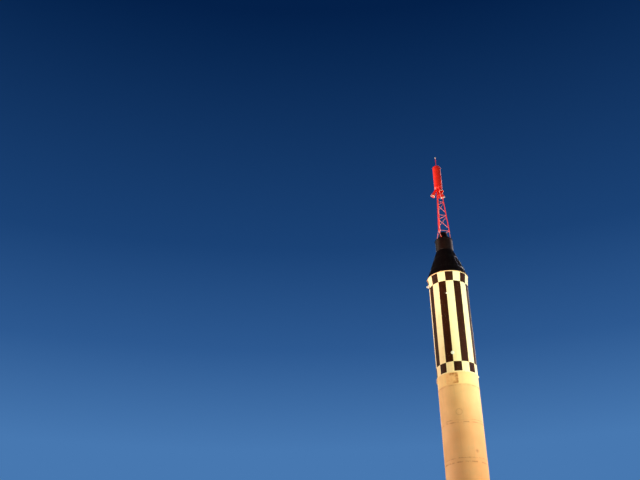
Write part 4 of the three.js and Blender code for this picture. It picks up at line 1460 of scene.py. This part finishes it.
def engine():
    """The bell and chamber, the plate around the bell, the block above and the pipes beside it."""
    finished("engine_bell", BELL, [bell_form()])

    edge, low = FIREWALL_EDGE, FIREWALL_BOTTOM
    sheet = [(edge, low), (FIREWALL_RIM, low), (FIREWALL_RIM, FIREWALL_TOP), (edge, FIREWALL_TOP)]
    collar = [(edge, low - 0.03), (edge + 0.02, low - 0.03), (edge + 0.03, low + 0.002), (edge, low + 0.002)]
    finished("firewall", STEEL, [lathe(rows, NARROW_SIDES, closed=True) for rows in (sheet, collar)])
    ribs = [(spot(15 * k, 0.61, low + 0.001), -UP, radial(15 * k), 0.42) for k in range(24)]
    bolts = [(spot(azimuth, 0.84, low), -UP) for azimuth in range(0, 360, 6)]
    bolts += [(spot(azimuth, 0.40, low), -UP) for azimuth in range(5, 360, 15)]
    settle(joined("firewall_ribs", [
        strips(BEADS, ribs, 0.03, 0.010, STEEL), screws(bolts, "bracket", STEEL)]))
    softened("engine_block", IRON, 0.02)

    forms = []
    for azimuth, radius, tube, end in BAY_PIPES:
        rows = [(tube + 0.02, low + 0.004), (tube + 0.02, low - 0.028), (tube, low - 0.03),
                (tube, end + 0.024), (tube + 0.004, end + 0.02), (tube + 0.004, end),
                (tube - 0.006, end), (tube - 0.006, low + 0.004)]
        place = Matrix.Translation(spot(azimuth, radius, 0))
        forms.append(posed(lathe(rows, TUBE_SIDES, closed=True), place))
    build("bay_pipes", STEEL, forms)


# Capsule

HATCH = {"azimuth": 62, "half_angle": 22, "bottom": 18.70, "top": 19.34, "gap": 0.010}
HATCH_MIDDLE = (HATCH["bottom"] + HATCH["top"]) / 2
HATCH_TALL = HATCH["top"] - HATCH["bottom"]
HATCH_SURFACE = on_cone(HATCH["azimuth"], HATCH_MIDDLE, 2 * HATCH["half_angle"], HATCH_TALL)
HINGE = {"sideways": 0.014, "outward": 0.030, "rod": 0.009, "length": 0.52, "bore": 0.012,
         "knuckle": 0.020, "knuckle_length": 0.06, "knuckles": (-0.13, 0.13), "brackets": (-0.232, 0.232)}

# Shingle rows on the cone: bottom, top, beads on each shingle
SHINGLE_ROWS = (
    (18.352, 18.675, 6),
    (18.712, 19.328, 5),
    (19.365, 19.770, 4),
)
HATCH_ROW = 1
SHINGLE_COLUMNS = 16
SHINGLE_PROUD = 0.0035
SHINGLE_EDGE = 0.475
CABIN_HOOPS = (18.54, 19.40, 19.56)
WALL_SHIFT = CABIN_WALL / math.cos(CONE_ANGLE)


def hatch_wedge(inset):
    """A pyramid from a point on the axis out through the hatch's four corners."""
    point = UP * HATCH_MIDDLE
    low, high = HATCH["bottom"] + inset, HATCH["top"] - inset
    corners = []
    for side, height in ((-1, low), (1, low), (1, high), (-1, high)):
        radius = cone_radius(height)
        angle = HATCH["half_angle"] - math.degrees(inset / radius)
        corners.append(point + (spot(HATCH["azimuth"] + side * angle, radius, height) - point) * 1.5)
    return loft([[point + (place - point) * 1e-3 for place in corners], corners])


def capsule_walls(name):
    """The closed cone with its cabin as an inner shell, before the hatch is cut."""
    top = CYLINDER_BOTTOM - FIT_GAP
    corners, faces = lathe([
        (0, CLAMP_TOP), (CAPSULE_RADIUS - CONE_CHAMFER, CLAMP_TOP), (CAPSULE_RADIUS, CONE_BOTTOM),
        (CYLINDER_RADIUS, top), (0, top)])
    inside, inside_faces = lathe([
        (0, CABIN_FLOOR), (cone_radius(CABIN_FLOOR) - WALL_SHIFT, CABIN_FLOOR),
        (cone_radius(CABIN_ROOF) - WALL_SHIFT, CABIN_ROOF), (0, CABIN_ROOF)])
    start = len(corners)
    faces += [[start + k for k in reversed(face)] for face in inside_faces]
    mesh = bpy.data.meshes.new(name)
    mesh.from_pydata([tuple(corner) for corner in corners + inside], [], faces)
    mesh.materials.append(BLACK)
    return new_object(name, mesh)


def paint_cabin(piece):
    """Gives the faces that look into the cabin their own finish."""
    piece.data.materials.append(CABIN)
    for face in piece.data.polygons:
        centre = face.center
        inside = math.hypot(centre.x, centre.y) < cone_radius(centre.z) - CABIN_WALL * 0.9
        if inside and CABIN_FLOOR - 0.001 < centre.z < CABIN_ROOF + 0.001:
            face.material_index = 1


def shingle_spots():
    """Each shingle's bottom, top, number of beads, azimuth and whether it is on the hatch."""
    for row, (bottom, top, count) in enumerate(SHINGLE_ROWS):
        for column in range(SHINGLE_COLUMNS):
            azimuth = HATCH["azimuth"] + 360 / SHINGLE_COLUMNS * (column + 0.5)
            yield bottom, top, count, azimuth, row == HATCH_ROW and column in (0, SHINGLE_COLUMNS - 1)


def shingles():
    """Thin overlapping plates with long beads and rows of bolts, on the cone and on the hatch."""
    plates, beads, bolts = ({False: [], True: []} for _ in range(3))
    for bottom, top, count, azimuth, on_hatch in shingle_spots():
        middle = (bottom + top) / 2
        tall = (top - bottom) / math.cos(CONE_ANGLE)
        if on_hatch:
            azimuth += 0.35 if azimuth % 360 < HATCH["azimuth"] else -0.35
            tall -= 0.03
        turn = 360 / SHINGLE_COLUMNS * (0.93 if on_hatch else 0.965)
        surface = on_cone(azimuth, middle, turn, math.cos(CONE_ANGLE))
        plates[on_hatch].append(plate(surface, (1.0, tall), 0.02, SHINGLE_PROUD, cut=0.004, pitch=0.08))
        for k in range(count):
            share = ((k + 0.5) / count - 0.5) * 0.86
            here = azimuth + share * turn
            point = surface(share, 0, SHINGLE_PROUD)
            beads[on_hatch].append((point, cone_out(here), cone_up(here), tall * 0.80))
        steps = max(3, round(tall / 0.075))
        for side in (-SHINGLE_EDGE, SHINGLE_EDGE):
            bolts[on_hatch] += [
                (surface(side, ((k + 0.5) / steps - 0.5) * tall * 0.96, SHINGLE_PROUD), cone_out(azimuth))
                for k in range(steps)]
    for on_hatch, name, body in ((False, "cone", "rocket"), (True, "hatch", "hatch")):
        build(name + "_shingles", BLACK, plates[on_hatch], body=body)
        settle(joined(name + "_beads", [
            strips(BEADS, beads[on_hatch], 0.026, 0.006, BLACK),
            screws(bolts[on_hatch], "rivet", BROWN)]), body)


def hinge_frame():
    """The hinge's frame at the hatch's rear edge: sideways, outwards and up the cone."""
    azimuth = HATCH["azimuth"] + HATCH["half_angle"]
    place = spot(azimuth, cone_radius(HATCH_MIDDLE), HATCH_MIDDLE)
    return axes(place, around(azimuth), cone_out(azimuth), cone_up(azimuth))


def hinge_tube(base, low, high, outer, inner=0.0):
    """A round bar or sleeve on the hinge's line."""
    line = base @ Matrix.Translation((HINGE["sideways"], HINGE["outward"], 0))
    if inner:
        rows = [(outer, low), (outer, high), (inner, high), (inner, low)]
    else:
        rows = [(0, low), (outer, low), (outer, high), (0, high)]
    return posed(lathe(rows, TUBE_SIDES, closed=inner > 0), line)


def capsule():
    """The cone, the hatch with its hinge and the frame round its opening."""
    cone = capsule_walls("capsule_cone_finished")
    panel = capsule_walls("side_hatch_finished")
    cut(cone, "DIFFERENCE", hatch_wedge(0))
    cut(panel, "INTERSECT", hatch_wedge(HATCH["gap"]))
    paint_cabin(cone)
    paint_cabin(panel)
    settle(cone, "rocket", "capsule_cone")
    settle(panel, "hatch", "side_hatch")

    base = hinge_frame()
    half = HINGE["knuckle_length"] / 2
    forms, spots = [], []
    for place in HINGE["knuckles"]:
        forms += [hinge_tube(base, place - half, place + half, HINGE["knuckle"], HINGE["bore"]),
                  block(base, (-0.10, 0.0), (0.012, 0.024), (place - half, place + half)),
                  block(base, (-0.10, -0.03), (-0.02, 0.02), (place - half, place + half))]
        spots += [(base @ Vector((across, 0.024, place + up)), base.col[1].xyz)
                  for across in (-0.085, -0.055) for up in (-0.016, 0.016)]
    build("hatch_straps", STEEL, forms, body="hatch", bevel=0.002)
    add_screws("hatch_strap_bolts", spots, "bracket", STEEL, "hatch")

    half = HINGE["length"] / 2
    forms = [hinge_tube(base, -half, half, HINGE["rod"])]
    forms += [block(base, (0.002, 0.04), (-0.03, 0.044), (place - 0.02, place + 0.02))
              for place in HINGE["brackets"]]
    finished("hatch_hinge", STEEL, forms, bevel=0.002)
    sill = rim(HATCH_SURFACE, (1.0, 1.0), 0.03, 0.040, 0.006, pitch=0.04)
    build("hatch_frame", BRIGHT, [sill], bevel=0.001)


def cabin_ribs():
    """Stringers and frames on the cabin's wall, away from the hatch, and ribs on the hatch."""
    low, high = CABIN_FLOOR + 0.02, CABIN_ROOF - 0.02
    middle = (low + high) / 2
    ribs, hoops, stiff = [], [], []
    for azimuth in range(3, 360, 15):
        if abs(azimuth - HATCH["azimuth"]) > HATCH["half_angle"] + 5:
            point = spot(azimuth, cone_radius(middle) - WALL_SHIFT + 0.002, middle)
            ribs.append((point, -cone_out(azimuth), cone_up(azimuth), (high - low) / math.cos(CONE_ANGLE)))
    for height in CABIN_HOOPS:
        radius = cone_radius(height) - WALL_SHIFT + 0.002
        reach = math.radians(5) * radius
        hoops += [(spot(azimuth, radius, height), -cone_out(azimuth), around(azimuth), reach)
                  for azimuth in range(0, 360, 5)]
    settle(joined("cabin_ribs", [
        strips(RIBS, ribs, 0.012, 0.030, CABIN), strips(RIBS, hoops, 0.030, 0.020, CABIN)]))
    for across in (-0.28, 0.0, 0.28):
        azimuth = HATCH["azimuth"] + 2 * across * HATCH["half_angle"]
        stiff.append((HATCH_SURFACE(across, 0, -CABIN_WALL), -cone_out(azimuth), cone_up(azimuth), 0.5))
    azimuth = HATCH["azimuth"]
    stiff += [(HATCH_SURFACE(0, up, -CABIN_WALL), -cone_out(azimuth), around(azimuth), 0.36)
              for up in (-0.3, 0.0, 0.3)]
    settle(joined("hatch_ribs", [strips(RIBS, stiff, 0.016, 0.014, CABIN)]), "hatch")


PANEL_COLUMNS = 12
PANEL_SPLIT = CYLINDER_BOTTOM + 0.33
PANEL_CORNER = 0.012
PANEL_PROUD = 0.004
CANISTER_HEAD = 0.18
CANISTER_BANDS = (0.05, 0.13, 0.21)
CLAMP_INNER = 0.315
CLAMP_OUTER = 0.418
NOZZLE_AZIMUTHS = (20, 140, 260)


def recovery_section():
    """The cylinder over the cone with its bolted panels."""
    top = CYLINDER_TOP - FIT_GAP
    radius = CYLINDER_RADIUS
    rows = [(0, CYLINDER_BOTTOM), (radius - EDGE_CUT, CYLINDER_BOTTOM), (radius, CYLINDER_BOTTOM + EDGE_CUT),
            (radius, top - 0.03), (radius + 0.004, top - 0.026), (radius + 0.004, top - 0.004),
            (radius, top), (0, top)]
    panels, bolts = [lathe(rows, NARROW_SIDES)], []
    width = math.radians(360 / PANEL_COLUMNS) * radius - 0.012
    for bottom, high in ((CYLINDER_BOTTOM + 0.012, PANEL_SPLIT - 0.008), (PANEL_SPLIT + 0.008, top - 0.042)):
        for k in range(PANEL_COLUMNS):
            surface = on_body(360 / PANEL_COLUMNS * k + 8, (bottom + high) / 2, radius)
            size = (width, high - bottom)
            panels.append(plate(surface, size, PANEL_CORNER, PANEL_PROUD, pitch=0.02))
            bolts += plate_spots(surface, size, PANEL_CORNER, PANEL_CORNER, 0.05, PANEL_PROUD)
    finished("recovery_section", BROWN, panels)
    add_screws("recovery_bolts", bolts, "panel", BROWN)


def canister():
    """The canister over the recovery section, and the clamp ring under the tower with its joints."""
    low, high = CYLINDER_TOP, head("antenna_canister")

    def taper(height):
        return between((CANISTER_RADIUS, CANISTER_HEAD), (height - low) / (high - low))

    rows = [(0, low), (CANISTER_RADIUS, low)]
    for band in CANISTER_BANDS:
        start = low + band
        rows += [(taper(start) + 0.0005, start), (taper(start) + 0.006, start + 0.004),
                 (taper(start) + 0.005, start + 0.020), (taper(start + 0.024), start + 0.024)]
    rows += [(CANISTER_HEAD + 0.001, high - 0.012), (CANISTER_HEAD - 0.010, high), (0, high)]
    finished("antenna_canister", BLACK, [lathe(rows, NARROW_SIDES)])

    top = TOWER_FOOT - FIT_GAP
    rows = channel_rows(CLAMP_OUTER, low, top, 0.007, (0.010, 0.014, 0.010, 0.006))
    forms = [lathe([*rows, (CLAMP_INNER, top), (CLAMP_INNER, low)], NARROW_SIDES, closed=True)]
    for azimuth in NOZZLE_AZIMUTHS:
        base = facing_out(azimuth, CLAMP_OUTER - 0.01, (low + top) / 2)
        forms += clamp_joint(base, 0.035, 0.012, 0.014, 0.03, 0.06, 0.018)
    finished("tower_clamp_ring", BLACK, forms, bevel=0.0015)


# Escape tower

LEG_AZIMUTHS = (80, 200, 320)
RING_HEIGHTS = (20.93, 21.84, 22.63)
DIAGONAL_RISE = 0.17
DIAGONAL_DROP = 0.07
FOOT_SPREAD = 22
FOOT_HALF = 0.035
HEAD_HALF = 0.045
END_DEPTH = 0.026
LEG_CIRCLE = {"height": 20.535, "radius": 0.352, "taper": 0.0788}
LEG_TUBE = 0.022
BRACE_TUBE = 0.012
# Gusset: along the brace and up from it
GUSSET_OUTLINE = ((0.02, 0.045), (0.07, 0.010), (0.07, -0.010), (0.02, -0.045))
GUSSET_THICK = 0.008


def leg_radius(height):
    return LEG_CIRCLE["radius"] - LEG_CIRCLE["taper"] * (height - LEG_CIRCLE["height"])


def leg_point(leg, height):
    return spot(LEG_AZIMUTHS[leg % 3], leg_radius(height), height)


def end_plate(place, azimuth, half, facing, spots):
    """A square plate under or over a tube's end, with a bolt at each corner of its face."""
    base = standing(azimuth, place)
    level = END_DEPTH if facing == UP else 0
    ends = (-half + 0.011, half - 0.011)
    spots += [(base @ Vector((out, across, level)), facing) for across in ends for out in ends]
    return block(base, (-half, half), (-half, half), (0, END_DEPTH))


def gusset(here, there):
    """A thin upright plate in the corner between a leg and a brace."""
    way = (there - here).normalized()
    side = way.cross(UP).normalized() * GUSSET_THICK
    return prism([here + way * along + UP * rise - side / 2 for along, rise in GUSSET_OUTLINE], side)


def escape_tower():
    """The lattice: legs, feet, rings and diagonals of tube, with gussets, end plates and their bolts."""
    legs, braces, forms, spots = [], [], [], []
    for leg, azimuth in enumerate(LEG_AZIMUTHS):
        split = leg_point(leg, RING_HEIGHTS[0])
        legs.append((leg_point(leg, RING_HEIGHTS[0] - 0.012), leg_point(leg, TOWER_HEAD - 0.005)))
        top = leg_point(leg, TOWER_HEAD - END_DEPTH - FIT_GAP)
        forms.append(end_plate(top, azimuth, HEAD_HALF, -UP, spots))
        for side in (-FOOT_SPREAD, FOOT_SPREAD):
            foot_place = spot(azimuth + side, leg_radius(TOWER_FOOT), TOWER_FOOT)
            braces.append((foot_place + UP * 0.005, split))
            forms.append(end_plate(foot_place, azimuth + side, FOOT_HALF, UP, spots))
        for k, height in enumerate(RING_HEIGHTS):
            near, far = leg_point(leg, height), leg_point(leg + 1, height)
            braces.append((near, far))
            forms += [gusset(near, far), gusset(far, near)]
            if k:
                braces.append((leg_point(leg, RING_HEIGHTS[k - 1] + DIAGONAL_RISE),
                               leg_point(leg + 1, height - DIAGONAL_DROP)))
    plates = new_object("tower_plates", new_mesh("tower_plates", [(RED, forms)]))
    add_bevel(plates, 0.0015)
    solid = plain_mesh(plates)
    bpy.data.objects.remove(plates)
    # The braces take the paler red, a painted highlight.
    lattice = [tubes(legs, LEG_TUBE, 16, RED), tubes(braces, BRACE_TUBE, 12, HIGHLIT_BRACE_RED), solid]
    settle(joined("escape_tower_finished", lattice), node="escape_tower")
    add_screws("tower_bolts", spots, "tower", STEEL)


# Escape nozzle: radius and height of each end, the radii of its throat and mouth, and its wall
NOZZLE = {"start": (0.100, 23.470), "end": (0.330, 23.060), "throat": 0.045, "mouth": 0.110, "wall": 0.008}
# The pale band at the mouth is a painted highlight: its share of the nozzle's length, and how far it stands
# off the wall.
HIGHLIGHT_BAND_SHARE = 0.11
HIGHLIGHT_BAND_PROUD = 0.002
NOZZLE_STEPS = 12


def nozzle_radius(share):
    """The outer radius at a share of the way from the mouth to the throat."""
    return NOZZLE["mouth"] + (NOZZLE["throat"] - NOZZLE["mouth"]) * share ** 0.8


def escape_nozzles():
    """Three canted nozzles, red inside and out, with a pale band at the mouth painted on as a highlight."""
    mouth, throat, wall = NOZZLE["mouth"], NOZZLE["throat"], NOZZLE["wall"]
    for k, azimuth in enumerate(NOZZLE_AZIMUTHS):
        start, end = spot(azimuth, *NOZZLE["start"]), spot(azimuth, *NOZZLE["end"])
        length = (start - end).length
        run = (TOWER_HEAD - FIT_GAP - end.z) / (start.z - end.z) * length + 0.02
        heights = [run * step / NOZZLE_STEPS for step in range(1, NOZZLE_STEPS + 1)]
        rows = [(0, length * 0.7), (throat - wall, length * 0.7), (mouth - wall * 1.6, length * 0.25),
                (mouth - wall, 0.0), (mouth - 0.002, 0.0), (mouth, 0.003)]
        rows += [(nozzle_radius(height / length), height) for height in heights] + [(0, run)]
        low, high = (mouth, 0.0), (nozzle_radius(HIGHLIGHT_BAND_SHARE), HIGHLIGHT_BAND_SHARE * length)
        band = [(radius + out, height) for (radius, height), out in (
            (low, HIGHLIGHT_BAND_PROUD), (high, HIGHLIGHT_BAND_PROUD), (high, -HIGHLIGHT_BAND_PROUD), (low, -HIGHLIGHT_BAND_PROUD))]
        base = along_z(end, start - end)
        finished(f"escape_nozzle_{k + 1}", RED, [posed(lathe(rows, 48), base)],
                 more=[(WHITE, [posed(lathe(band, 48, closed=True), base)])])


SKIRT_TOP = 23.49
SHOULDER = 24.72
MOTOR_BANDS = (23.55, 24.13, 24.66)
MOTOR_CAP = 0.06
BAND_PROUD = 0.005
CONDUITS = (48, 228)
# Conduit: height and how far it stands out
CONDUIT_ROWS = (
    (SKIRT_TOP + 0.04, 0.002),
    (SKIRT_TOP + 0.07, 0.020),
    (SHOULDER - 0.07, 0.020),
    (SHOULDER - 0.04, 0.002),
)


def escape_motor():
    """The motor's case with its bands, caps and conduits."""
    radius = MOTOR_RADIUS
    rows = [(0, TOWER_HEAD), (0.160, TOWER_HEAD), (0.165, TOWER_HEAD + 0.005),
            (radius - 0.002, SKIRT_TOP - 0.004), (radius, SKIRT_TOP + 0.002)]
    spots = []
    for band in MOTOR_BANDS:
        rows += line_rows(radius, band, BAND_PROUD, 0.022, 0.020)
        for height in (band - 0.014, band + 0.014):
            spots += hoop_spots(height, radius + BAND_PROUD, 24, start=6)
    rows.append((radius, SHOULDER))
    for step in range(1, 8):
        angle = math.radians(90 * step / 8)
        rows.append((MOTOR_CAP + (radius - MOTOR_CAP) * math.cos(angle) ** 0.55,
                     between((SHOULDER, MOTOR_TOP), math.sin(angle))))
    forms = [lathe(rows + [(MOTOR_CAP, MOTOR_TOP), (0, MOTOR_TOP)], NARROW_SIDES)]
    for azimuth in CONDUITS:
        forms.append(loft([duct_section(azimuth, radius - 0.003, 0.018, depth, height)
                           for height, depth in CONDUIT_ROWS]))
    finished("escape_motor", RED, forms)
    spots += [(spot(30 * k, 0.09, MOTOR_TOP), UP) for k in range(12)]
    add_screws("escape_motor_bolts", spots, "motor", RED)


# Jettison motor: radius and height above its foot, up to its case
JETTISON_ROWS = (
    (0, 0.06),
    (0.023, 0.06),
    (0.042, 0),
    (0.046, 0),
    (0.0276, 0.1),
    (0.0322, 0.105),
    (JETTISON_RADIUS - 0.008, 0.122),
    (JETTISON_RADIUS, 0.134),
)
# Spike: radius and height of its stem above its foot, and of its knob below the tip
STEM_ROWS = ((0, 0), (0.045, 0), (0.045, 0.010), (0.036, 0.014), (0.022, 0.024), (0.015, 0.034))
STEM_TOP = 0.068
KNOB_ROWS = ((0, 0.072), (0.015, 0.072), (0.024, 0.062), (0.029, 0.045), (0.029, 0.030),
             (0.025, 0.014), (0.016, 0.004), (0, 0))


def jettison_and_spike():
    """The jettison motor under the escape motor, and the spike on top of it."""
    low = foot("jettison_motor")
    rows = [(radius, low + height) for radius, height in JETTISON_ROWS]
    for band in (low + 0.17, TOWER_HEAD - 0.05):
        rows += line_rows(JETTISON_RADIUS, band, 0.004, 0.012, 0.010)
    rows += [(JETTISON_RADIUS, TOWER_HEAD - FIT_GAP), (0, TOWER_HEAD - FIT_GAP)]
    finished("jettison_motor", RED, [lathe(rows, SMALL_SIDES)])

    low = foot("aerospike")
    stem = [(radius, low + height) for radius, height in STEM_ROWS]
    stem += [(STEM_ROWS[-1][0], TIP - STEM_TOP), (0, TIP - STEM_TOP)]
    knob = [(radius, TIP - drop) for radius, drop in KNOB_ROWS]
    finished("aerospike", RED, [lathe(stem, TUBE_SIDES)], more=[(WHITE, [lathe(knob, TUBE_SIDES)])])


# Camera, lights, floor and backdrop

CAMERA = {"place": (-3.038, -34.724, 0.30), "heading": -4.852, "pitch": 30.559, "roll": -0.738, "lens": 46.42}

# Soft suns: name, azimuth, elevation, softness in degrees, strength, colour
SUNS = (
    ("right sun", 66, 5, 35, 0.28, (1.0, 0.58, 0.46)),
    ("left sun", -84, 4, 35, 2.2, (1.0, 0.58, 0.38)),
    ("far left sun", -110, 4, 35, 1.7, (0.80, 1.0, 0.85)),
    ("dusk sun", 122, 22, 40, 0.80, (1.0, 0.84, 0.90)),
    ("rear sun", 172, 22, 40, 1.3, (0.95, 0.88, 0.80)),
)
# Soft boxes: name, azimuth, distance out, height, aim height, width, tallness, spread, watts, colour
BOXES = (
    ("upper box", 24, 13.0, 15.5, 16.6, 3.5, 4.0, 95, 400, (0.80, 1.0, 0.66)),
    ("left lamp", -48, 11.0, 12.0, 21.5, 2.0, 2.0, 50, 150, (1.0, 0.84, 0.72)),
    ("right lamp", 66, 15.0, 9.0, 12.0, 6.0, 9.0, 50, 300, (1.0, 0.66, 0.30)),
    ("right box", 70, 12.0, 14.5, 15.5, 3.0, 5.0, 90, 260, (0.30, 0.70, 1.0)),
)
# The backdrop's colour at each rise, from the floor up
BACKDROP = (
    (0.28, (0.063, 0.188, 0.440)),
    (0.39, (0.026, 0.100, 0.285)),
    (0.50, (0.0105, 0.0545, 0.181)),
    (0.72, (0.0010, 0.0144, 0.067)),
)
AMBIENT = (0.015, 0.01, 0.01)
GLOSS_SKY = (0.045, 0.05, 0.085)
FLOOR_HALF = 60
FLOOR_SHADES = ((0.84, 0.87, 0.90), (0.87, 0.90, 0.93))


def camera():
    """The photograph's view: heading from +Y towards +X, pitch above the horizon and a small roll."""
    heading, pitch, roll = (math.radians(CAMERA[key]) for key in ("heading", "pitch", "roll"))
    level = math.cos(pitch)
    ahead = Vector((math.sin(heading) * level, math.cos(heading) * level, math.sin(pitch)))
    right = Vector((math.cos(heading), -math.sin(heading), 0))
    above = right.cross(ahead)
    rolled_right = right * math.cos(roll) + above * math.sin(roll)
    rolled_above = above * math.cos(roll) - right * math.sin(roll)
    data = bpy.data.cameras.new("camera")
    data.lens = CAMERA["lens"]
    data.sensor_width = 36.0
    data.clip_end = 500
    made = new_object("camera", data)
    made.matrix_world = axes(Vector(CAMERA["place"]), rolled_right, rolled_above, -ahead)
    SCENE.camera = made


def new_lamp(name, kind, energy, colour):
    data = bpy.data.lights.new(name, kind)
    data.energy = energy
    data.color = colour
    return data, new_object(name, data)


def lamps():
    """Low suns on both sides and behind, and soft boxes before the body."""
    for name, azimuth, elevation, softness, strength, colour in SUNS:
        data, made = new_lamp(name, "SUN", strength, colour)
        data.angle = math.radians(softness)
        rise = math.radians(elevation)
        made.matrix_world = along_z(UP * 30, radial(azimuth) * math.cos(rise) + UP * math.sin(rise))
    for name, azimuth, reach, height, aim, width, tall, spread, watts, colour in BOXES:
        data, made = new_lamp(name, "AREA", watts, colour)
        data.shape = "RECTANGLE"
        data.size = width
        data.size_y = tall
        data.spread = math.radians(spread)
        place = spot(azimuth, reach, height)
        made.matrix_world = along_z(place, place - UP * aim)
        made.visible_camera = False


def surroundings():
    """A plain backdrop that darkens upwards over even soft light, and a plain pale floor."""
    world = bpy.data.worlds.new("backdrop")
    world.use_nodes = True
    world.node_tree.nodes.clear()
    graph = Graph(world.node_tree)
    way = graph.node("ShaderNodeTexCoord").outputs["Generated"]
    rise = graph.node("ShaderNodeSeparateXYZ", {0: way}).outputs[2]
    shade = graph.node("ShaderNodeValToRGB", {0: rise})
    ramp = shade.color_ramp
    for stop, (height, colour) in enumerate(BACKDROP):
        point = ramp.elements[stop] if stop < 2 else ramp.elements.new(1)
        point.position = height
        point.color = (*colour, 1)
    seen = graph.out("ShaderNodeBackground", {"Color": shade.outputs[0]})
    felt = graph.out("ShaderNodeBackground", {"Color": (*AMBIENT, 1)})
    mirrored = graph.out("ShaderNodeBackground", {"Color": (*GLOSS_SKY, 1)})
    ray = graph.node("ShaderNodeLightPath").outputs
    soft = graph.out("ShaderNodeMixShader", {0: ray["Is Glossy Ray"], 1: felt, 2: mirrored})
    mixed = graph.out("ShaderNodeMixShader", {0: ray["Is Camera Ray"], 1: soft, 2: seen})
    graph.node("ShaderNodeOutputWorld", {"Surface": mixed})
    SCENE.world = world
    SCENE.view_settings.view_transform = "Standard"

    mesh = bpy.data.meshes.new("floor")
    corners = [(x * FLOOR_HALF, y * FLOOR_HALF, 0) for x, y in ((-1, -1), (1, -1), (1, 1), (-1, 1))]
    mesh.from_pydata(corners, [], [(0, 1, 2, 3)])
    pale = Finish("floor_pale", None, specular=0.2)
    tone = pale.tint(pale.grain(0.4), *FLOOR_SHADES)
    mesh.materials.append(pale.done(tone, 0.8, [(pale.grain(20), 0.0005)]))
    new_object("floor", mesh)


camera()
lamps()
surroundings()
body_skins()
bands()
doors_and_screws()
access_cover()
vent_bosses()
cable_ducts()
stay_lugs()
tail_shell()
base_ring()
fins()
steering()
engine()
capsule()
cabin_ribs()
shingles()
recovery_section()
canister()
escape_tower()
escape_nozzles()
escape_motor()
jettison_and_spike()
